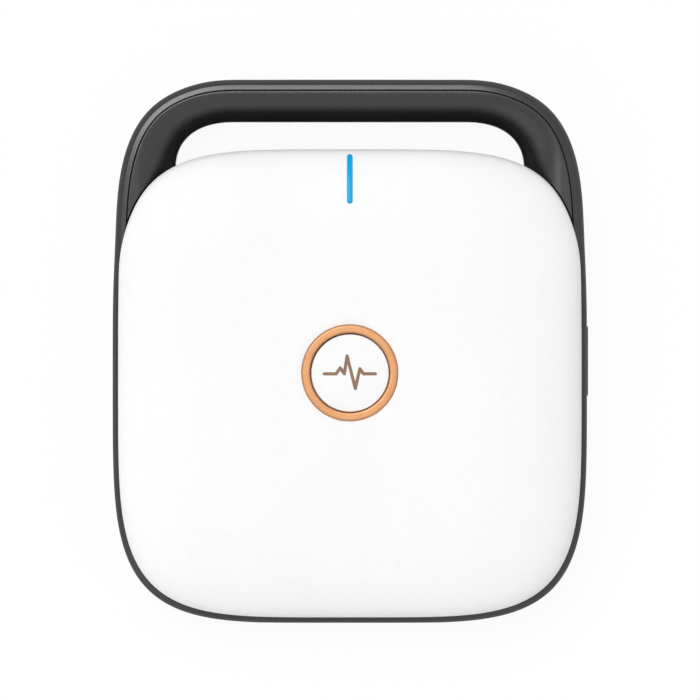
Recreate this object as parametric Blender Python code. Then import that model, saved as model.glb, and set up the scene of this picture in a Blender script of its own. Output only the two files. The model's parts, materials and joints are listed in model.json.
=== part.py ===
# PC-based ECG recorder: a pillow-shaped white front cover on a dark housing whose rim runs on
# into a carrying handle. The recorder lies on its back. +Z comes out of its front, +Y points to
# the handle and +X to the port side. Lengths are in metres, and places are measured from the
# middle of the button until the whole recorder is moved to the middle of its own outline.
import math

import bmesh
import bpy
from mathutils import Matrix, Vector

# Clearances
gap = 0.0003                  # between pieces that seat on each other or pass each other
seam = 0.0002                 # round the light bar and the button ring, where the joint shows
overrun = 0.001               # how far a cutter runs past the face that it opens

# How finely the curves are divided
outline_points = 48
corner_crowding = 0.11        # draws outline points towards the corners
opening_corner_steps = 7
opening_wall_steps = 8
round_steps = 3
turning_steps = 20
fine_turning_steps = 32
hole_sides = 12
end_round_share = 0.97        # of half a slot's width, at its round ends

# Dark housing and handle, seen from the front
housing_half_width = 0.0521
housing_reach = 0.0550        # from the button down to the lower edge
housing_power = 4.55          # squareness of the lower corners
handle_power = 5.05           # squareness of the handle's corners
handle_slot = 0.0072          # opening between the housing and the bar of the handle
handle_bar = 0.0094           # width of the bar
handle_leg = 0.0140           # from the housing's side to the opening
opening_side = 0.00085        # straight side of the opening, above the housing wall
opening_corner_across = 0.0132
opening_corner_power = 2.3

# The same, in depth
foot_standing = 0.0010        # gap between the back face and the table
back_round = 0.0050
floor_wall = 0.0020
side_wall = 0.0036
upper_wall = 0.0022           # wall of the housing behind the handle opening
rim_width = 0.00225
rim_roll = 0.0028             # height over which the rim rolls in
opening_front_spread = 0.0048
opening_front_depth = 0.0056
opening_back_round = 0.0026
handle_lift = 0.0050          # how far the handle's back stands off the table
handle_lift_run = 0.0120

# Front frame
frame_height = 0.0070
frame_sink = 0.00025
frame_wall = 0.0024
frame_edge_round = 0.0005
frame_chamfer_share = 0.3     # of the edge's round, at its middle point

# Front cover
cover_margin = 0.0011         # dark rim that shows round the cover
cover_reach_up = 0.0493
cover_overhang = 0.0015       # beyond the housing wall, over the handle opening
cover_power_up = 4.4
cover_power_low = 4.65
cover_band = 0.0008           # straight band under the crown
cover_wall = 0.0020
cover_lip = 0.0039
crown_over_board = 0.0070     # crown of the cover above the board that it covers
crown_power = 5.5             # flatness of the crown's middle
crown_round = 2.4             # roundness of its edge
seal_width = 0.0009
seal_groove_depth = 0.0005

# Button
ring_radius = 0.01056
ring_width = 0.00198
ring_skirt_wall = 0.00102
ring_proud = 0.0004
ring_flange = 0.0013
ring_skirt_depth = 0.0030     # below the crown
ring_chamfer = 0.00025
cap_recess = 0.00045          # below the ring's face
cap_crown = 0.00015
cap_flange_width = 0.0011
cap_flange_height = 0.0010
cap_wall = 0.0013
cap_roof = 0.0012
cap_stem_radius = 0.0020
cap_edge_round = 0.0003
pad_foot_spread = 0.0004      # beyond the cap's flange
pad_top_inset = 0.0010
pad_skin = 0.0011
button_travel = 0.0006

# Light bar and its diode
light_width = 0.00104
light_length = 0.0108
light_end_inset = 0.0014      # from the cover's upper edge
diode_size = (0.0028, 0.0014, 0.0007)

# Main board
board_thickness = 0.0012
board_boss_clear = 0.0006
board_clear_up = 0.0038       # from the wall behind the handle opening
board_clear_low = 0.0110      # from the housing's lower edge
board_corner = 0.0080
post_radius = 0.0026
post_inset_x = 0.0045         # from the board's side
post_inset_up = 0.0070
post_inset_down = 0.0045
pilot_radius = 0.0011
board_screw_radius = 0.0008
board_screw_length = 0.0060
board_screw_head_radius = 0.0021
board_screw_head_height = 0.0012
board_hole_radius = 0.0013

# Shield over the inputs, between the button and the row of resistors
shield_side_share = -0.335    # its middle, of the board's half width
shield_width = 0.0300
shield_height = 0.0024
shield_button_clear = 0.0027  # from the foot of the button's pad
shield_row_clear = 0.0016     # from the resistors

# Other parts on the main board: middle as shares of the board's half width and of its reach up
# or down, and width, length and height
supply_share = (0.509, -0.500)
supply_size = (0.0130, 0.0170, 0.0030)
radio_share = (0.550, 0.568)
radio_size = (0.0150, 0.0210, 0.0008)
radio_can_size = (0.0126, 0.0126, 0.0014)
processor_share = (-0.509, 0.295)
processor_size = (0.0120, 0.0120, 0.0012)
sounder_share = (-0.536, 0.682)
sounder_radius = 0.0045
sounder_height = 0.0028
sounder_hole_share = 0.25     # of the sounder's radius
resistor_share = (0.0, -0.841)
resistor_count = 8
resistor_radius = 0.0010
resistor_length = 0.0058
resistor_pitch = 0.0052
resistor_end_share = 0.8      # of the resistor's radius
switch_size = (0.0060, 0.0060, 0.0009)
plunger_radius = 0.0016

# Battery bay, cells and door
cell_radius = 0.0071
cell_length = 0.0492
cell_nub_radius = 0.00275
cell_nub_length = 0.0010
cell_edge_round = 0.0007
bay_wall = 0.0012
bay_contact_room = 0.0036     # at each end of the cells
bay_comb_clear = 0.0009       # from the socket's pin comb
contact_plate_size = 0.0112
contact_plate_thickness = 0.0004
spring_radius = 0.0034
spring_wire = 0.0005
spring_turns = 3
spring_points_per_turn = 8
spring_taper_share = 0.35
door_margin = 0.0018          # beyond each end of the bay
door_tongue = 0.0014
door_lip = 0.0010             # thickness of the housing lip under the tongue
door_end_clear = 0.0023       # from the bay to the door's upper end
tunnel_roof = 0.00095
grip_count = 5
grip_width = 0.0007
grip_pitch = 0.0016
grip_depth = 0.0005
grip_length = 0.0170
grip_inset = 0.0125           # first groove, from the housing's lower edge

# Patient-cable socket: a D-shaped shell with two rows of contacts between two jack screws
pins_per_row = (8, 7)         # upper row, lower row
pin_pitch = 0.00277
pin_row_step = 0.00284
pin_hole_radius = 0.0006
pin_hole_depth = 0.0030
pin_size = 0.0006
pin_comb_height = 0.0011
dee_side = 0.00265            # from the outer contacts to the shell's outside
dee_taper = 0.0018
dee_head = 0.00253            # from a row of contacts to the shell's outside
dee_corner = 0.0024
dee_wall = 0.0006
dee_length = 0.0059
insert_body_depth = 0.0050
flange_height = 0.0125
flange_thickness = 0.0008
flange_ear = 0.0029           # beyond the middle of each jack screw
flange_corner = 0.0010
jack_from_dee = 0.0016
jack_side_clear = 0.00115     # from a jack screw to the recess's end
jack_radius = 0.0027
jack_length = 0.0038
jack_shank_radius = 0.0013
jack_bore_radius = 0.0011
socket_pocket_height = 0.0116
socket_pocket_depth = 0.0083
socket_pocket_corner = 0.0016
socket_head_wall = 0.0019     # from the recess up to the crest of the rim
socket_block_wall = 0.0012
socket_back_wall = 0.0015

# USB socket, its board and the port cover
port_offset = 0.0026          # above the middle between the bosses of its side
port_cover_length = 0.0156
port_cover_width = 0.0076
port_cover_thickness = 0.0016
port_cover_proud = 0.0003
port_cover_round = 0.0005
port_cover_corner = 0.0010
plug_length = 0.0010
plug_clear = 0.0006           # inside the socket's mouth
usb_width = 0.00894
usb_height = 0.00326
usb_length = 0.0073
usb_wall = 0.0003
usb_back_wall = 0.0009
usb_tongue = (0.0044, 0.0060, 0.0007)
usb_board_length = 0.0160
usb_board_clear = 0.0028      # from the bay's wall
usb_post_radius = 0.0020
usb_post_inset = 0.0032
usb_screw_head_radius = 0.0017
link_size = (0.0024, 0.0110, 0.0025)
link_pin_count = 5
link_pin_pitch = 0.0020
link_inset = 0.0022           # from the inner edge of the USB board

# Housing screws, bosses and inserts
boss_inset = 0.0106           # from the housing's side to the boss
boss_low_inset = 0.0350       # lower bosses, from the housing's lower edge
boss_up_inset = 0.0278        # upper bosses, from the wall behind the handle opening
boss_radius = 0.0036
boss_height = 0.0089          # of the housing's bosses, above its floor
boss_bury = 0.0008            # into the cover's wall
screw_radius = 0.00125
screw_clear = 0.00035
screw_head_radius = 0.0023
screw_head_height = 0.0016
screw_head_crown_share = 0.7  # flat of a screw's head, of its radius
screw_head_rim_share = 0.6    # rim of a screw's head, of its height
screw_sink = 0.0026           # screw head below the back face
screw_past_insert = 0.0007
counterbore_clear = 0.0004
insert_wall = 0.00055
insert_length = 0.0050

# Feet
foot_radius = 0.0045
foot_sunk = 0.0006
foot_edge_round = 0.0003
foot_door_clear = 0.0021      # from the door's tongue to the lower feet
foot_draw = 0.0025            # how much nearer the middle the upper feet are
foot_low_inset = 0.0170       # lower feet, from the housing's lower edge
foot_up_inset = 0.0158        # upper feet, from the wall behind the handle opening

# Places that follow, across the front
wall_top = cover_reach_up - cover_overhang
opening_top = wall_top + handle_slot
handle_reach = opening_top + handle_bar
opening_half_width = housing_half_width - handle_leg
lift_start = wall_top - upper_wall - floor_wall
light_middle_y = cover_reach_up - light_end_inset - light_length / 2
boss_x = housing_half_width - boss_inset
boss_low_y = -housing_reach + boss_low_inset
boss_up_y = wall_top - boss_up_inset
port_middle_y = (boss_low_y + boss_up_y) / 2 + port_offset
board_half_width = boss_x - boss_radius - board_boss_clear
board_reach_up = wall_top - board_clear_up
board_reach_down = housing_reach - board_clear_low
ring_hole_radius = ring_radius - ring_width
ring_skirt_radius = ring_hole_radius + ring_skirt_wall
cap_radius = ring_hole_radius - gap
cap_flange_radius = cap_radius + cap_flange_width

# The socket and, behind it, the battery bay
dee_top_width = (max(pins_per_row) - 1) * pin_pitch + 2 * dee_side
dee_low_width = dee_top_width - dee_taper
dee_height = pin_row_step + 2 * dee_head
jack_spacing = dee_top_width + 2 * (jack_from_dee + jack_radius)
flange_width = jack_spacing + 2 * flange_ear
pocket_half_width = jack_spacing / 2 + jack_radius + jack_side_clear
block_half_width = pocket_half_width + socket_block_wall
pocket_floor_y = -housing_reach + socket_pocket_depth
flange_y = pocket_floor_y + socket_back_wall + gap
pin_back_y = flange_y + flange_thickness + insert_body_depth + gap
comb_back_y = pin_back_y + 2 * pin_size * (len(pins_per_row) + 1)
bay_low_y = comb_back_y + bay_comb_clear + bay_wall
bay_high_y = bay_low_y + 4 * cell_radius + 3 * gap
bay_half_length = cell_length / 2 + bay_contact_room
door_half_width = bay_half_length + door_margin
door_end_y = bay_high_y + door_end_clear
tunnel_half_width = door_half_width + door_tongue + gap + bay_wall
usb_board_inner_x = bay_half_length + bay_wall + usb_board_clear
usb_board_outer_x = housing_half_width - side_wall - gap
foot_x = door_half_width + door_tongue + foot_door_clear + foot_radius

# Heights that follow, from the table up
back_z = foot_standing
floor_z = back_z + floor_wall
tunnel_top = floor_z + gap + tunnel_roof
socket_z = tunnel_top + gap + flange_height / 2
rim_z = socket_z + socket_pocket_height / 2 + socket_head_wall
frame_top = rim_z - frame_sink
frame_low = frame_top - frame_height
seat_z = frame_low - gap
port_z = seat_z - usb_height / 2
usb_board_top = port_z - usb_height / 2 - gap
cell_z = floor_z + gap + cell_radius
bay_top = cell_z + cell_radius + gap + bay_wall
board_low = bay_top + gap
board_top = board_low + board_thickness
cover_low = rim_z + gap
band_z = cover_low + cover_band
crown_z = board_top + crown_over_board
crown_rise = crown_z - band_z
cap_flange_top = crown_z - ring_skirt_depth - gap
cap_low = cap_flange_top - cap_flange_height
boss_split = floor_z + boss_height

# Housing screws
screw_seat = back_z + screw_sink + screw_head_height
screw_length = boss_split + 2 * gap + insert_length + screw_past_insert - screw_seat
screw_tip = screw_seat + screw_length + screw_radius / 2
screw_hole_radius = screw_radius + screw_clear
insert_hole_radius = screw_radius + gap
insert_radius = insert_hole_radius + insert_wall

housing = {"half": housing_half_width, "up": handle_reach, "down": housing_reach,
           "up_power": handle_power, "down_power": housing_power}
cover = {"half": housing_half_width - cover_margin, "up": cover_reach_up,
         "down": housing_reach - cover_margin,
         "up_power": cover_power_up, "down_power": cover_power_low}
upper_body = {"half": cover["half"] - cover_overhang, "up": wall_top,
              "down": housing_reach - side_wall,
              "up_power": cover_power_up, "down_power": housing_power}
cavity = {"half": housing_half_width - side_wall, "up": wall_top - upper_wall,
          "down": housing_reach - side_wall,
          "up_power": cover_power_up, "down_power": housing_power}
frame_margin = rim_width + gap + frame_wall
window = {"half": housing_half_width - frame_margin, "up": wall_top - frame_wall,
          "down": housing_reach - frame_margin,
          "up_power": cover_power_up, "down_power": housing_power}
seal_inset = (frame_wall - seal_width) / 2

recorder = None


# Materials

def make_material(name, colour, roughness, metallic=0.0):
    material = bpy.data.materials.new(name)
    material.use_nodes = True
    shader = material.node_tree.nodes["Principled BSDF"]
    shader.inputs["Base Color"].default_value = (*colour, 1.0)
    shader.inputs["Roughness"].default_value = roughness
    shader.inputs["Metallic"].default_value = metallic
    material.diffuse_color = (*colour, 1.0)
    return material


def make_materials():
    return {
        "white": make_material("white_plastic", (0.90, 0.90, 0.89), 0.35),
        "charcoal": make_material("charcoal_plastic", (0.055, 0.056, 0.058), 0.42),
        "copper": make_material("copper_ring", (0.78, 0.37, 0.15), 0.35, 0.6),
        "blue": make_material("blue_light_bar", (0.02, 0.42, 0.83), 0.25),
        "rubber": make_material("black_rubber", (0.03, 0.03, 0.032), 0.75),
        "silicone": make_material("clear_silicone", (0.75, 0.77, 0.78), 0.5),
        "board": make_material("green_board", (0.02, 0.16, 0.08), 0.45),
        "chip": make_material("black_chip", (0.02, 0.02, 0.022), 0.5),
        "steel": make_material("steel", (0.62, 0.62, 0.62), 0.3, 1.0),
        "brass": make_material("brass", (0.72, 0.52, 0.22), 0.35, 1.0),
        "insulator": make_material("socket_insulator", (0.03, 0.05, 0.12), 0.5),
        "cell": make_material("cell_sleeve", (0.12, 0.13, 0.15), 0.35, 0.2),
        "ceramic": make_material("resistor_body", (0.30, 0.45, 0.55), 0.5),
    }


# Outlines

def outline(shape, inset=0.0, share=1.0):
    # A squared-off oval, counter-clockwise from +X, whose upper and lower halves differ.
    points = []
    for index in range(outline_points):
        turn = 2 * math.pi * index / outline_points
        angle = turn + corner_crowding * math.sin(4 * turn)
        across, along = math.cos(angle), math.sin(angle)
        reach = shape["up"] if along >= 0 else shape["down"]
        power = shape["up_power"] if along >= 0 else shape["down_power"]
        stretch = (abs(across) ** power + abs(along) ** power) ** (-1 / power)
        across, along = across * stretch, along * stretch
        normal = Vector((math.copysign(abs(across) ** (power - 1), across) / shape["half"],
                         math.copysign(abs(along) ** (power - 1), along) / reach)).normalized()
        points.append((share * (shape["half"] * across - inset * normal.x),
                       share * (reach * along - inset * normal.y)))
    return points


def rounded(corners, radius, steps=3):
    # Fillets every corner of a convex, counter-clockwise outline.
    points = []
    for index, corner in enumerate(corners):
        here = Vector(corner)
        back = (Vector(corners[index - 1]) - here).normalized()
        ahead = (Vector(corners[(index + 1) % len(corners)]) - here).normalized()
        half = back.angle(ahead) / 2
        centre = here + (back + ahead).normalized() * radius / math.sin(half)
        arm = here + back * radius / math.tan(half) - centre
        for step in range(steps + 1):
            points.append(tuple(centre + Matrix.Rotation((math.pi - 2 * half) * step / steps, 2) @ arm))
    return points


def oblong(width, height, radius, middle=(0.0, 0.0), steps=3):
    x, y = width / 2, height / 2
    corners = rounded(((-x, -y), (x, -y), (x, y), (-x, y)), radius, steps)
    return [(u + middle[0], v + middle[1]) for u, v in corners]


def circle(radius, sides, middle=(0.0, 0.0)):
    return [(middle[0] + radius * math.cos(2 * math.pi * side / sides),
             middle[1] + radius * math.sin(2 * math.pi * side / sides)) for side in range(sides)]


def ease(share):
    share = min(max(share, 0.0), 1.0)
    return share * share * (3 - 2 * share)


def back_at(y):
    # Height of the back face, which rises under the handle.
    return back_z + handle_lift * ease((y - lift_start) / handle_lift_run)


def crown_at(share, rise=crown_rise):
    return band_z + rise * (1 - share ** crown_power) ** (1 / crown_round)


def wall_line(x):
    # Outer face of the housing wall that runs under the cover's upper edge.
    share = min(abs(x) / upper_body["half"], 1.0)
    return upper_body["up"] * (1 - share ** cover_power_up) ** (1 / cover_power_up)


# Solids

def add_object(name, shape, material=None, flat_angle=35.0):
    # Closes a bmesh into an object. Without a material the object only cuts or joins others.
    bmesh.ops.recalc_face_normals(shape, faces=shape.faces)
    mesh = bpy.data.meshes.new(name)
    shape.to_mesh(mesh)
    shape.free()
    mesh.shade_smooth()
    mesh.set_sharp_from_angle(angle=math.radians(flat_angle))
    thing = bpy.data.objects.new(name, mesh)
    bpy.context.scene.collection.objects.link(thing)
    thing.parent = recorder
    if material is None:
        thing.hide_render = True
        thing.display_type = "WIRE"
    else:
        mesh.materials.append(material)
    return thing


def add_copies(name, shape, material, spots, z=0.0):
    # The same piece at several spots, one object each, all sharing one mesh.
    first = add_object(name + "_1", shape, material)
    things = [first]
    for index in range(1, len(spots)):
        thing = bpy.data.objects.new("%s_%d" % (name, index + 1), first.data)
        bpy.context.scene.collection.objects.link(thing)
        thing.parent = recorder
        things.append(thing)
    for thing, (x, y) in zip(things, spots):
        thing.location = (x, y, z)
    return things


def apply_boolean(target, tool, operation="DIFFERENCE"):
    modifier = target.modifiers.new(tool.name, "BOOLEAN")
    modifier.operation = operation
    modifier.solver = "EXACT"
    modifier.object = tool
    return target


def add_loft(shape, rings, closed=False):
    # Skins a stack of rings that all have the same number of points.
    loops = [[shape.verts.new(point) for point in ring] for ring in rings]
    pairs = list(zip(loops, loops[1:]))
    if closed:
        pairs.append((loops[-1], loops[0]))
    for low, high in pairs:
        for index in range(len(low)):
            after = (index + 1) % len(low)
            shape.faces.new((low[index], low[after], high[after], high[index]))
    if not closed:
        shape.faces.new(loops[0])
        shape.faces.new(loops[-1])


def level(points, z):
    return [(x, y, z) for x, y in points]


def add_prism(shape, points, low, high, axis="Z"):
    # Extrudes a flat outline. Along Y the outline is (x, z), and along X it is (y, z).
    place = {"Z": lambda u, v, w: (u, v, w), "Y": lambda u, v, w: (u, w, v),
             "X": lambda u, v, w: (w, u, v)}[axis]
    face = shape.faces.new([shape.verts.new(place(u, v, low)) for u, v in points])
    grown = bmesh.ops.extrude_face_region(shape, geom=[face])["geom"]
    moved = [item for item in grown if isinstance(item, bmesh.types.BMVert)]
    bmesh.ops.translate(shape, verts=moved, vec=place(0.0, 0.0, high - low))


def add_box(shape, low, high):
    add_prism(shape, [(low[0], low[1]), (high[0], low[1]), (high[0], high[1]), (low[0], high[1])],
              low[2], high[2])


def add_centred_box(shape, middle, size, low):
    add_box(shape, (middle[0] - size[0] / 2, middle[1] - size[1] / 2, low),
            (middle[0] + size[0] / 2, middle[1] + size[1] / 2, low + size[2]))


def add_turned(shape, profile, place=None, steps=turning_steps):
    # Spins a profile of (radius, height) points about its own axis, then puts it in place.
    before = set(shape.verts)
    verts = [shape.verts.new((radius, 0.0, height)) for radius, height in profile]
    edges = [shape.edges.new((verts[index], verts[index + 1])) for index in range(len(verts) - 1)
             if profile[index][0] > 0 or profile[index + 1][0] > 0]
    if profile[0][0] > 0:
        edges.append(shape.edges.new((verts[-1], verts[0])))
    bmesh.ops.spin(shape, geom=verts + edges, cent=(0.0, 0.0, 0.0), axis=(0.0, 0.0, 1.0),
                   angle=2 * math.pi, steps=steps, use_merge=True)
    made = [vert for vert in shape.verts if vert not in before]
    bmesh.ops.remove_doubles(shape, verts=made, dist=gap / 1000)
    made = [vert for vert in shape.verts if vert not in before]
    if place is not None:
        bmesh.ops.transform(shape, matrix=place, verts=made)


def at(x, y, z=0.0):
    return Matrix.Translation((x, y, z))


def along_x(x, y, z, towards=1):
    return Matrix.Translation((x, y, z)) @ Matrix.Rotation(towards * math.pi / 2, 4, "Y")


def along_y(x, y, z, towards=-1):
    return Matrix.Translation((x, y, z)) @ Matrix.Rotation(-towards * math.pi / 2, 4, "X")


def mirrored_spots(x, ys):
    return [(side * x, y) for y in ys for side in (-1, 1)]


# Handle opening, one cutter for both halves of the handle

def opening_ring(spread, lower_spread):
    points = []
    centre_x = opening_half_width - opening_corner_across
    centre_y = wall_line(opening_half_width) + opening_side
    across = opening_corner_across + spread
    down = opening_top - centre_y + spread
    for side in (1, -1):
        for step in range(opening_corner_steps + 1):
            quarter = step if side == 1 else opening_corner_steps - step
            angle = math.pi / 2 * quarter / opening_corner_steps
            points.append((side * (centre_x + across * math.cos(angle) ** (2 / opening_corner_power)),
                           centre_y + down * math.sin(angle) ** (2 / opening_corner_power)))
    half = opening_half_width + spread
    for step in range(opening_wall_steps + 1):
        x = half * math.sin(math.pi * (step / opening_wall_steps - 0.5))
        points.append((x, wall_line(x) - lower_spread))
    return points


def make_handle_opening():
    spread = opening_back_round + overrun
    rings = [level(opening_ring(spread, spread), back_z - overrun)]
    for step in range(1, round_steps + 1):
        angle = math.pi / 2 * step / round_steps
        spread = opening_back_round * (1 - math.sin(angle))
        rise = opening_back_round * (1 - math.cos(angle))
        rings.append([(x, y, back_at(y) + rise) for x, y in opening_ring(spread, spread)])
    front_steps = round_steps + 1
    for step in range(front_steps, 0, -1):
        angle = math.pi / 2 * step / front_steps
        spread = opening_front_spread * (1 - math.sin(angle))
        drop = opening_front_depth * (1 - math.cos(angle))
        rings.append(level(opening_ring(spread, 0.0), frame_top - drop))
    rings.append(level(opening_ring(opening_front_spread, 0.0), frame_top))
    rings.append(level(opening_ring(opening_front_spread + overrun, 0.0), frame_top + overrun))
    shape = bmesh.new()
    add_loft(shape, rings)
    return add_object("handle_opening_cutter", shape)


# Rear housing

def housing_rings():
    # From the middle of the back, round its edge, up the side and over the rolled rim.
    back_shares = (0.70, 0.78, 0.86, 0.93)
    roll_shares = ((0.0, 1.0), (0.06, 0.56), (0.22, 0.22), (0.46, 0.04), (0.70, 0.0),
                   (1.0, 0.20))          # across the rim, down from its crest
    rings = []
    for share in back_shares:
        points = outline(housing, back_round, share)
        rings.append([(x, y, back_at(y)) for x, y in points])
    for step in range(round_steps + 1):
        angle = math.pi / 2 * step / round_steps
        points = outline(housing, back_round * (1 - math.sin(angle)))
        rise = back_round * (1 - math.cos(angle))
        rings.append([(x, y, back_at(y) + rise) for x, y in points])
    for across, down in roll_shares:
        rings.append(level(outline(housing, rim_width * across), rim_z - rim_roll * down))
    return rings


def make_envelope():
    shape = bmesh.new()
    add_loft(shape, housing_rings())
    return add_object("housing_envelope", shape)


def cell_rows():
    first = bay_low_y + gap + cell_radius
    return [first, first + 2 * cell_radius + gap]


def boss_spots():
    return mirrored_spots(boss_x, (boss_low_y, boss_up_y))


def post_spots():
    return mirrored_spots(board_half_width - post_inset_x,
                          (-board_reach_down + post_inset_down, board_reach_up - post_inset_up))


def usb_post_spots():
    x = usb_board_outer_x - usb_post_inset
    reach = usb_board_length / 2 - usb_post_radius
    return [(x, port_middle_y - reach), (x, port_middle_y + reach)]


def foot_spots():
    return (mirrored_spots(foot_x, (-housing_reach + foot_low_inset,))
            + mirrored_spots(foot_x - foot_draw, (wall_top - foot_up_inset,)))


def slot_outline(width, height, middle):
    # An oblong whose shorter sides are round.
    return oblong(width, height, end_round_share * min(width, height) / 2, middle, 4)


def dee_outline(grow=0.0):
    # The socket's D shape in x and z about its own middle.
    top = dee_top_width / 2 + grow
    low = dee_low_width / 2 + grow
    half = dee_height / 2 + grow
    points = rounded(((-low, -half), (low, -half), (top, half), (-top, half)), dee_corner + grow)
    return [(x, z + socket_z) for x, z in points]


def door_profile(grow=0.0):
    # T-shaped section in x and z: a plate with a tongue along each side.
    plate = door_half_width + grow
    tongue = plate + door_tongue
    lip_z = back_z + door_lip - grow
    top = floor_z + grow
    low = back_z - overrun
    return [(-plate, low), (plate, low), (plate, lip_z), (tongue, lip_z),
            (tongue, top), (-tongue, top), (-tongue, lip_z), (-plate, lip_z)]


def make_housing_insides(rear):
    # Bay, channel of the door, socket block, bosses and posts, joined to the hollow housing.
    foot = floor_z - overrun
    lower_wall = -housing_reach + side_wall - overrun
    bay = bmesh.new()
    half = bay_half_length + bay_wall
    add_box(bay, (-half, bay_low_y - bay_wall, foot), (half, bay_high_y + bay_wall, bay_top))
    apply_boolean(rear, add_object("bay_body", bay), "UNION")

    tunnel = bmesh.new()
    add_box(tunnel, (-tunnel_half_width, lower_wall, foot),
            (tunnel_half_width, door_end_y + gap + bay_wall, tunnel_top))
    apply_boolean(rear, add_object("tunnel_body", tunnel), "UNION")

    block = bmesh.new()
    add_box(block, (-block_half_width, lower_wall, tunnel_top - gap),
            (block_half_width, pocket_floor_y + socket_back_wall,
             socket_z + socket_pocket_height / 2 + socket_block_wall))
    apply_boolean(rear, add_object("socket_body", block), "UNION")

    posts = bmesh.new()
    sides = turning_steps // 2
    for spot in boss_spots():
        add_prism(posts, circle(boss_radius, sides, spot), foot, boss_split)
    for spot in post_spots():
        add_prism(posts, circle(post_radius, sides, spot), foot, board_low - gap)
    for spot in usb_post_spots():
        add_prism(posts, circle(usb_post_radius, sides, spot), foot, usb_board_top - board_thickness - gap)
    apply_boolean(rear, add_object("post_bodies", posts), "UNION")


def make_housing_cuts(rear):
    door = bmesh.new()
    add_prism(door, door_profile(gap), -housing_reach - overrun, door_end_y + gap, "Y")
    apply_boolean(rear, add_object("door_slot_cutter", door))

    bay = bmesh.new()
    add_box(bay, (-bay_half_length, bay_low_y, floor_z - overrun),
            (bay_half_length, bay_high_y, bay_top - bay_wall))
    apply_boolean(rear, add_object("bay_cutter", bay))

    pocket = bmesh.new()
    add_prism(pocket, oblong(2 * pocket_half_width, socket_pocket_height, socket_pocket_corner,
                             (0.0, socket_z)),
              -housing_reach - overrun, pocket_floor_y, "Y")
    apply_boolean(rear, add_object("socket_pocket_cutter", pocket))

    holes = bmesh.new()
    through = (pocket_floor_y - overrun, pocket_floor_y + socket_back_wall + overrun)
    add_prism(holes, dee_outline(gap), *through, "Y")
    for side in (-1, 1):
        middle = (side * jack_spacing / 2, socket_z)
        add_prism(holes, circle(jack_shank_radius + gap, hole_sides, middle), *through, "Y")
    apply_boolean(rear, add_object("socket_hole_cutter", holes))

    port = bmesh.new()
    face = housing_half_width - port_cover_thickness - gap + port_cover_proud
    add_prism(port, oblong(port_cover_length + 2 * gap, port_cover_width + 2 * gap, port_cover_corner,
                           (port_middle_y, port_z)), face, housing_half_width + overrun, "X")
    apply_boolean(rear, add_object("port_recess_cutter", port))
    mouth = bmesh.new()
    add_prism(mouth, slot_outline(usb_width + 2 * gap, usb_height + 2 * gap, (port_middle_y, port_z)),
              housing_half_width - side_wall - overrun, face + overrun, "X")
    apply_boolean(rear, add_object("usb_mouth_cutter", mouth))

    screws = bmesh.new()
    bottom = screw_seat + gap
    bore = screw_head_radius + counterbore_clear
    for x, y in boss_spots():
        add_turned(screws, [(0.0, back_z - overrun), (bore, back_z - overrun), (bore, bottom),
                            (screw_hole_radius, bottom), (screw_hole_radius, boss_split + overrun),
                            (0.0, boss_split + overrun)], at(x, y), turning_steps // 2)
    for spot in foot_spots():
        add_prism(screws, circle(foot_radius + gap, turning_steps, spot),
                  back_z - overrun, back_z + foot_sunk + gap)
    for spot in post_spots():
        add_prism(screws, circle(pilot_radius, hole_sides, spot),
                  board_low - gap - board_screw_length, board_low + overrun)
    for spot in usb_post_spots():
        add_prism(screws, circle(pilot_radius, hole_sides, spot),
                  floor_z, usb_board_top - board_thickness + overrun)
    apply_boolean(rear, add_object("screw_hole_cutter", screws))


def make_rear_housing(materials, opening):
    rings = housing_rings()
    rings.append(level(outline(housing, rim_width), seat_z))
    shape = bmesh.new()
    add_loft(shape, rings)
    rear = add_object("rear_housing", shape, materials["charcoal"])
    hollow = bmesh.new()
    add_loft(hollow, [level(outline(cavity), floor_z), level(outline(cavity), seat_z + overrun)])
    apply_boolean(rear, add_object("cavity_cutter", hollow))
    make_housing_insides(rear)
    make_housing_cuts(rear)
    apply_boolean(rear, opening)
    return rear


# Front frame with the face of the handle

def make_mid_frame(materials, opening):
    edge = rim_width + gap
    middle = frame_edge_round * frame_chamfer_share
    rings = [level(outline(housing, edge), frame_low),
             level(outline(housing, edge), frame_top - frame_edge_round),
             level(outline(housing, edge + middle), frame_top - middle),
             level(outline(housing, edge + frame_edge_round), frame_top),
             level(outline(window), frame_top), level(outline(window), frame_low)]
    shape = bmesh.new()
    add_loft(shape, rings, closed=True)
    frame = add_object("mid_frame", shape, materials["charcoal"])
    notch = bmesh.new()
    half = block_half_width + gap
    add_box(notch, (-half, -housing_reach, frame_low - overrun),
            (half, -window["down"] + frame_wall, frame_top + overrun))
    apply_boolean(frame, add_object("socket_notch_cutter", notch))
    groove = bmesh.new()
    add_band(groove, seal_inset - gap, seal_inset + seal_width + gap,
             frame_top - seal_groove_depth, frame_top + overrun)
    apply_boolean(frame, add_object("seal_groove_cutter", groove))
    apply_boolean(frame, opening)
    return frame


def add_band(shape, inner, outer, low, high):
    # A band that follows the frame's window, between two distances outside it.
    rings = [level(outline(window, -outer), low), level(outline(window, -outer), high),
             level(outline(window, -inner), high), level(outline(window, -inner), low)]
    add_loft(shape, rings, closed=True)


def make_cover_seal(materials):
    shape = bmesh.new()
    add_band(shape, seal_inset, seal_inset + seal_width,
             frame_top - seal_groove_depth + gap, cover_low - gap)
    return add_object("cover_seal", shape, materials["rubber"])


# Front cover

def cover_outer_rings():
    shares = (0.45, 0.67, 0.80, 0.88, 0.935, 0.97, 0.992, 1.0)
    return [level(outline(cover, 0.0, share), crown_at(share)) for share in shares]


def make_cover_form():
    # The cover's outside as a plain solid, which trims the light bar to the crown.
    shape = bmesh.new()
    add_loft(shape, cover_outer_rings() + [level(outline(cover), cover_low)])
    return add_object("cover_form", shape)


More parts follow.
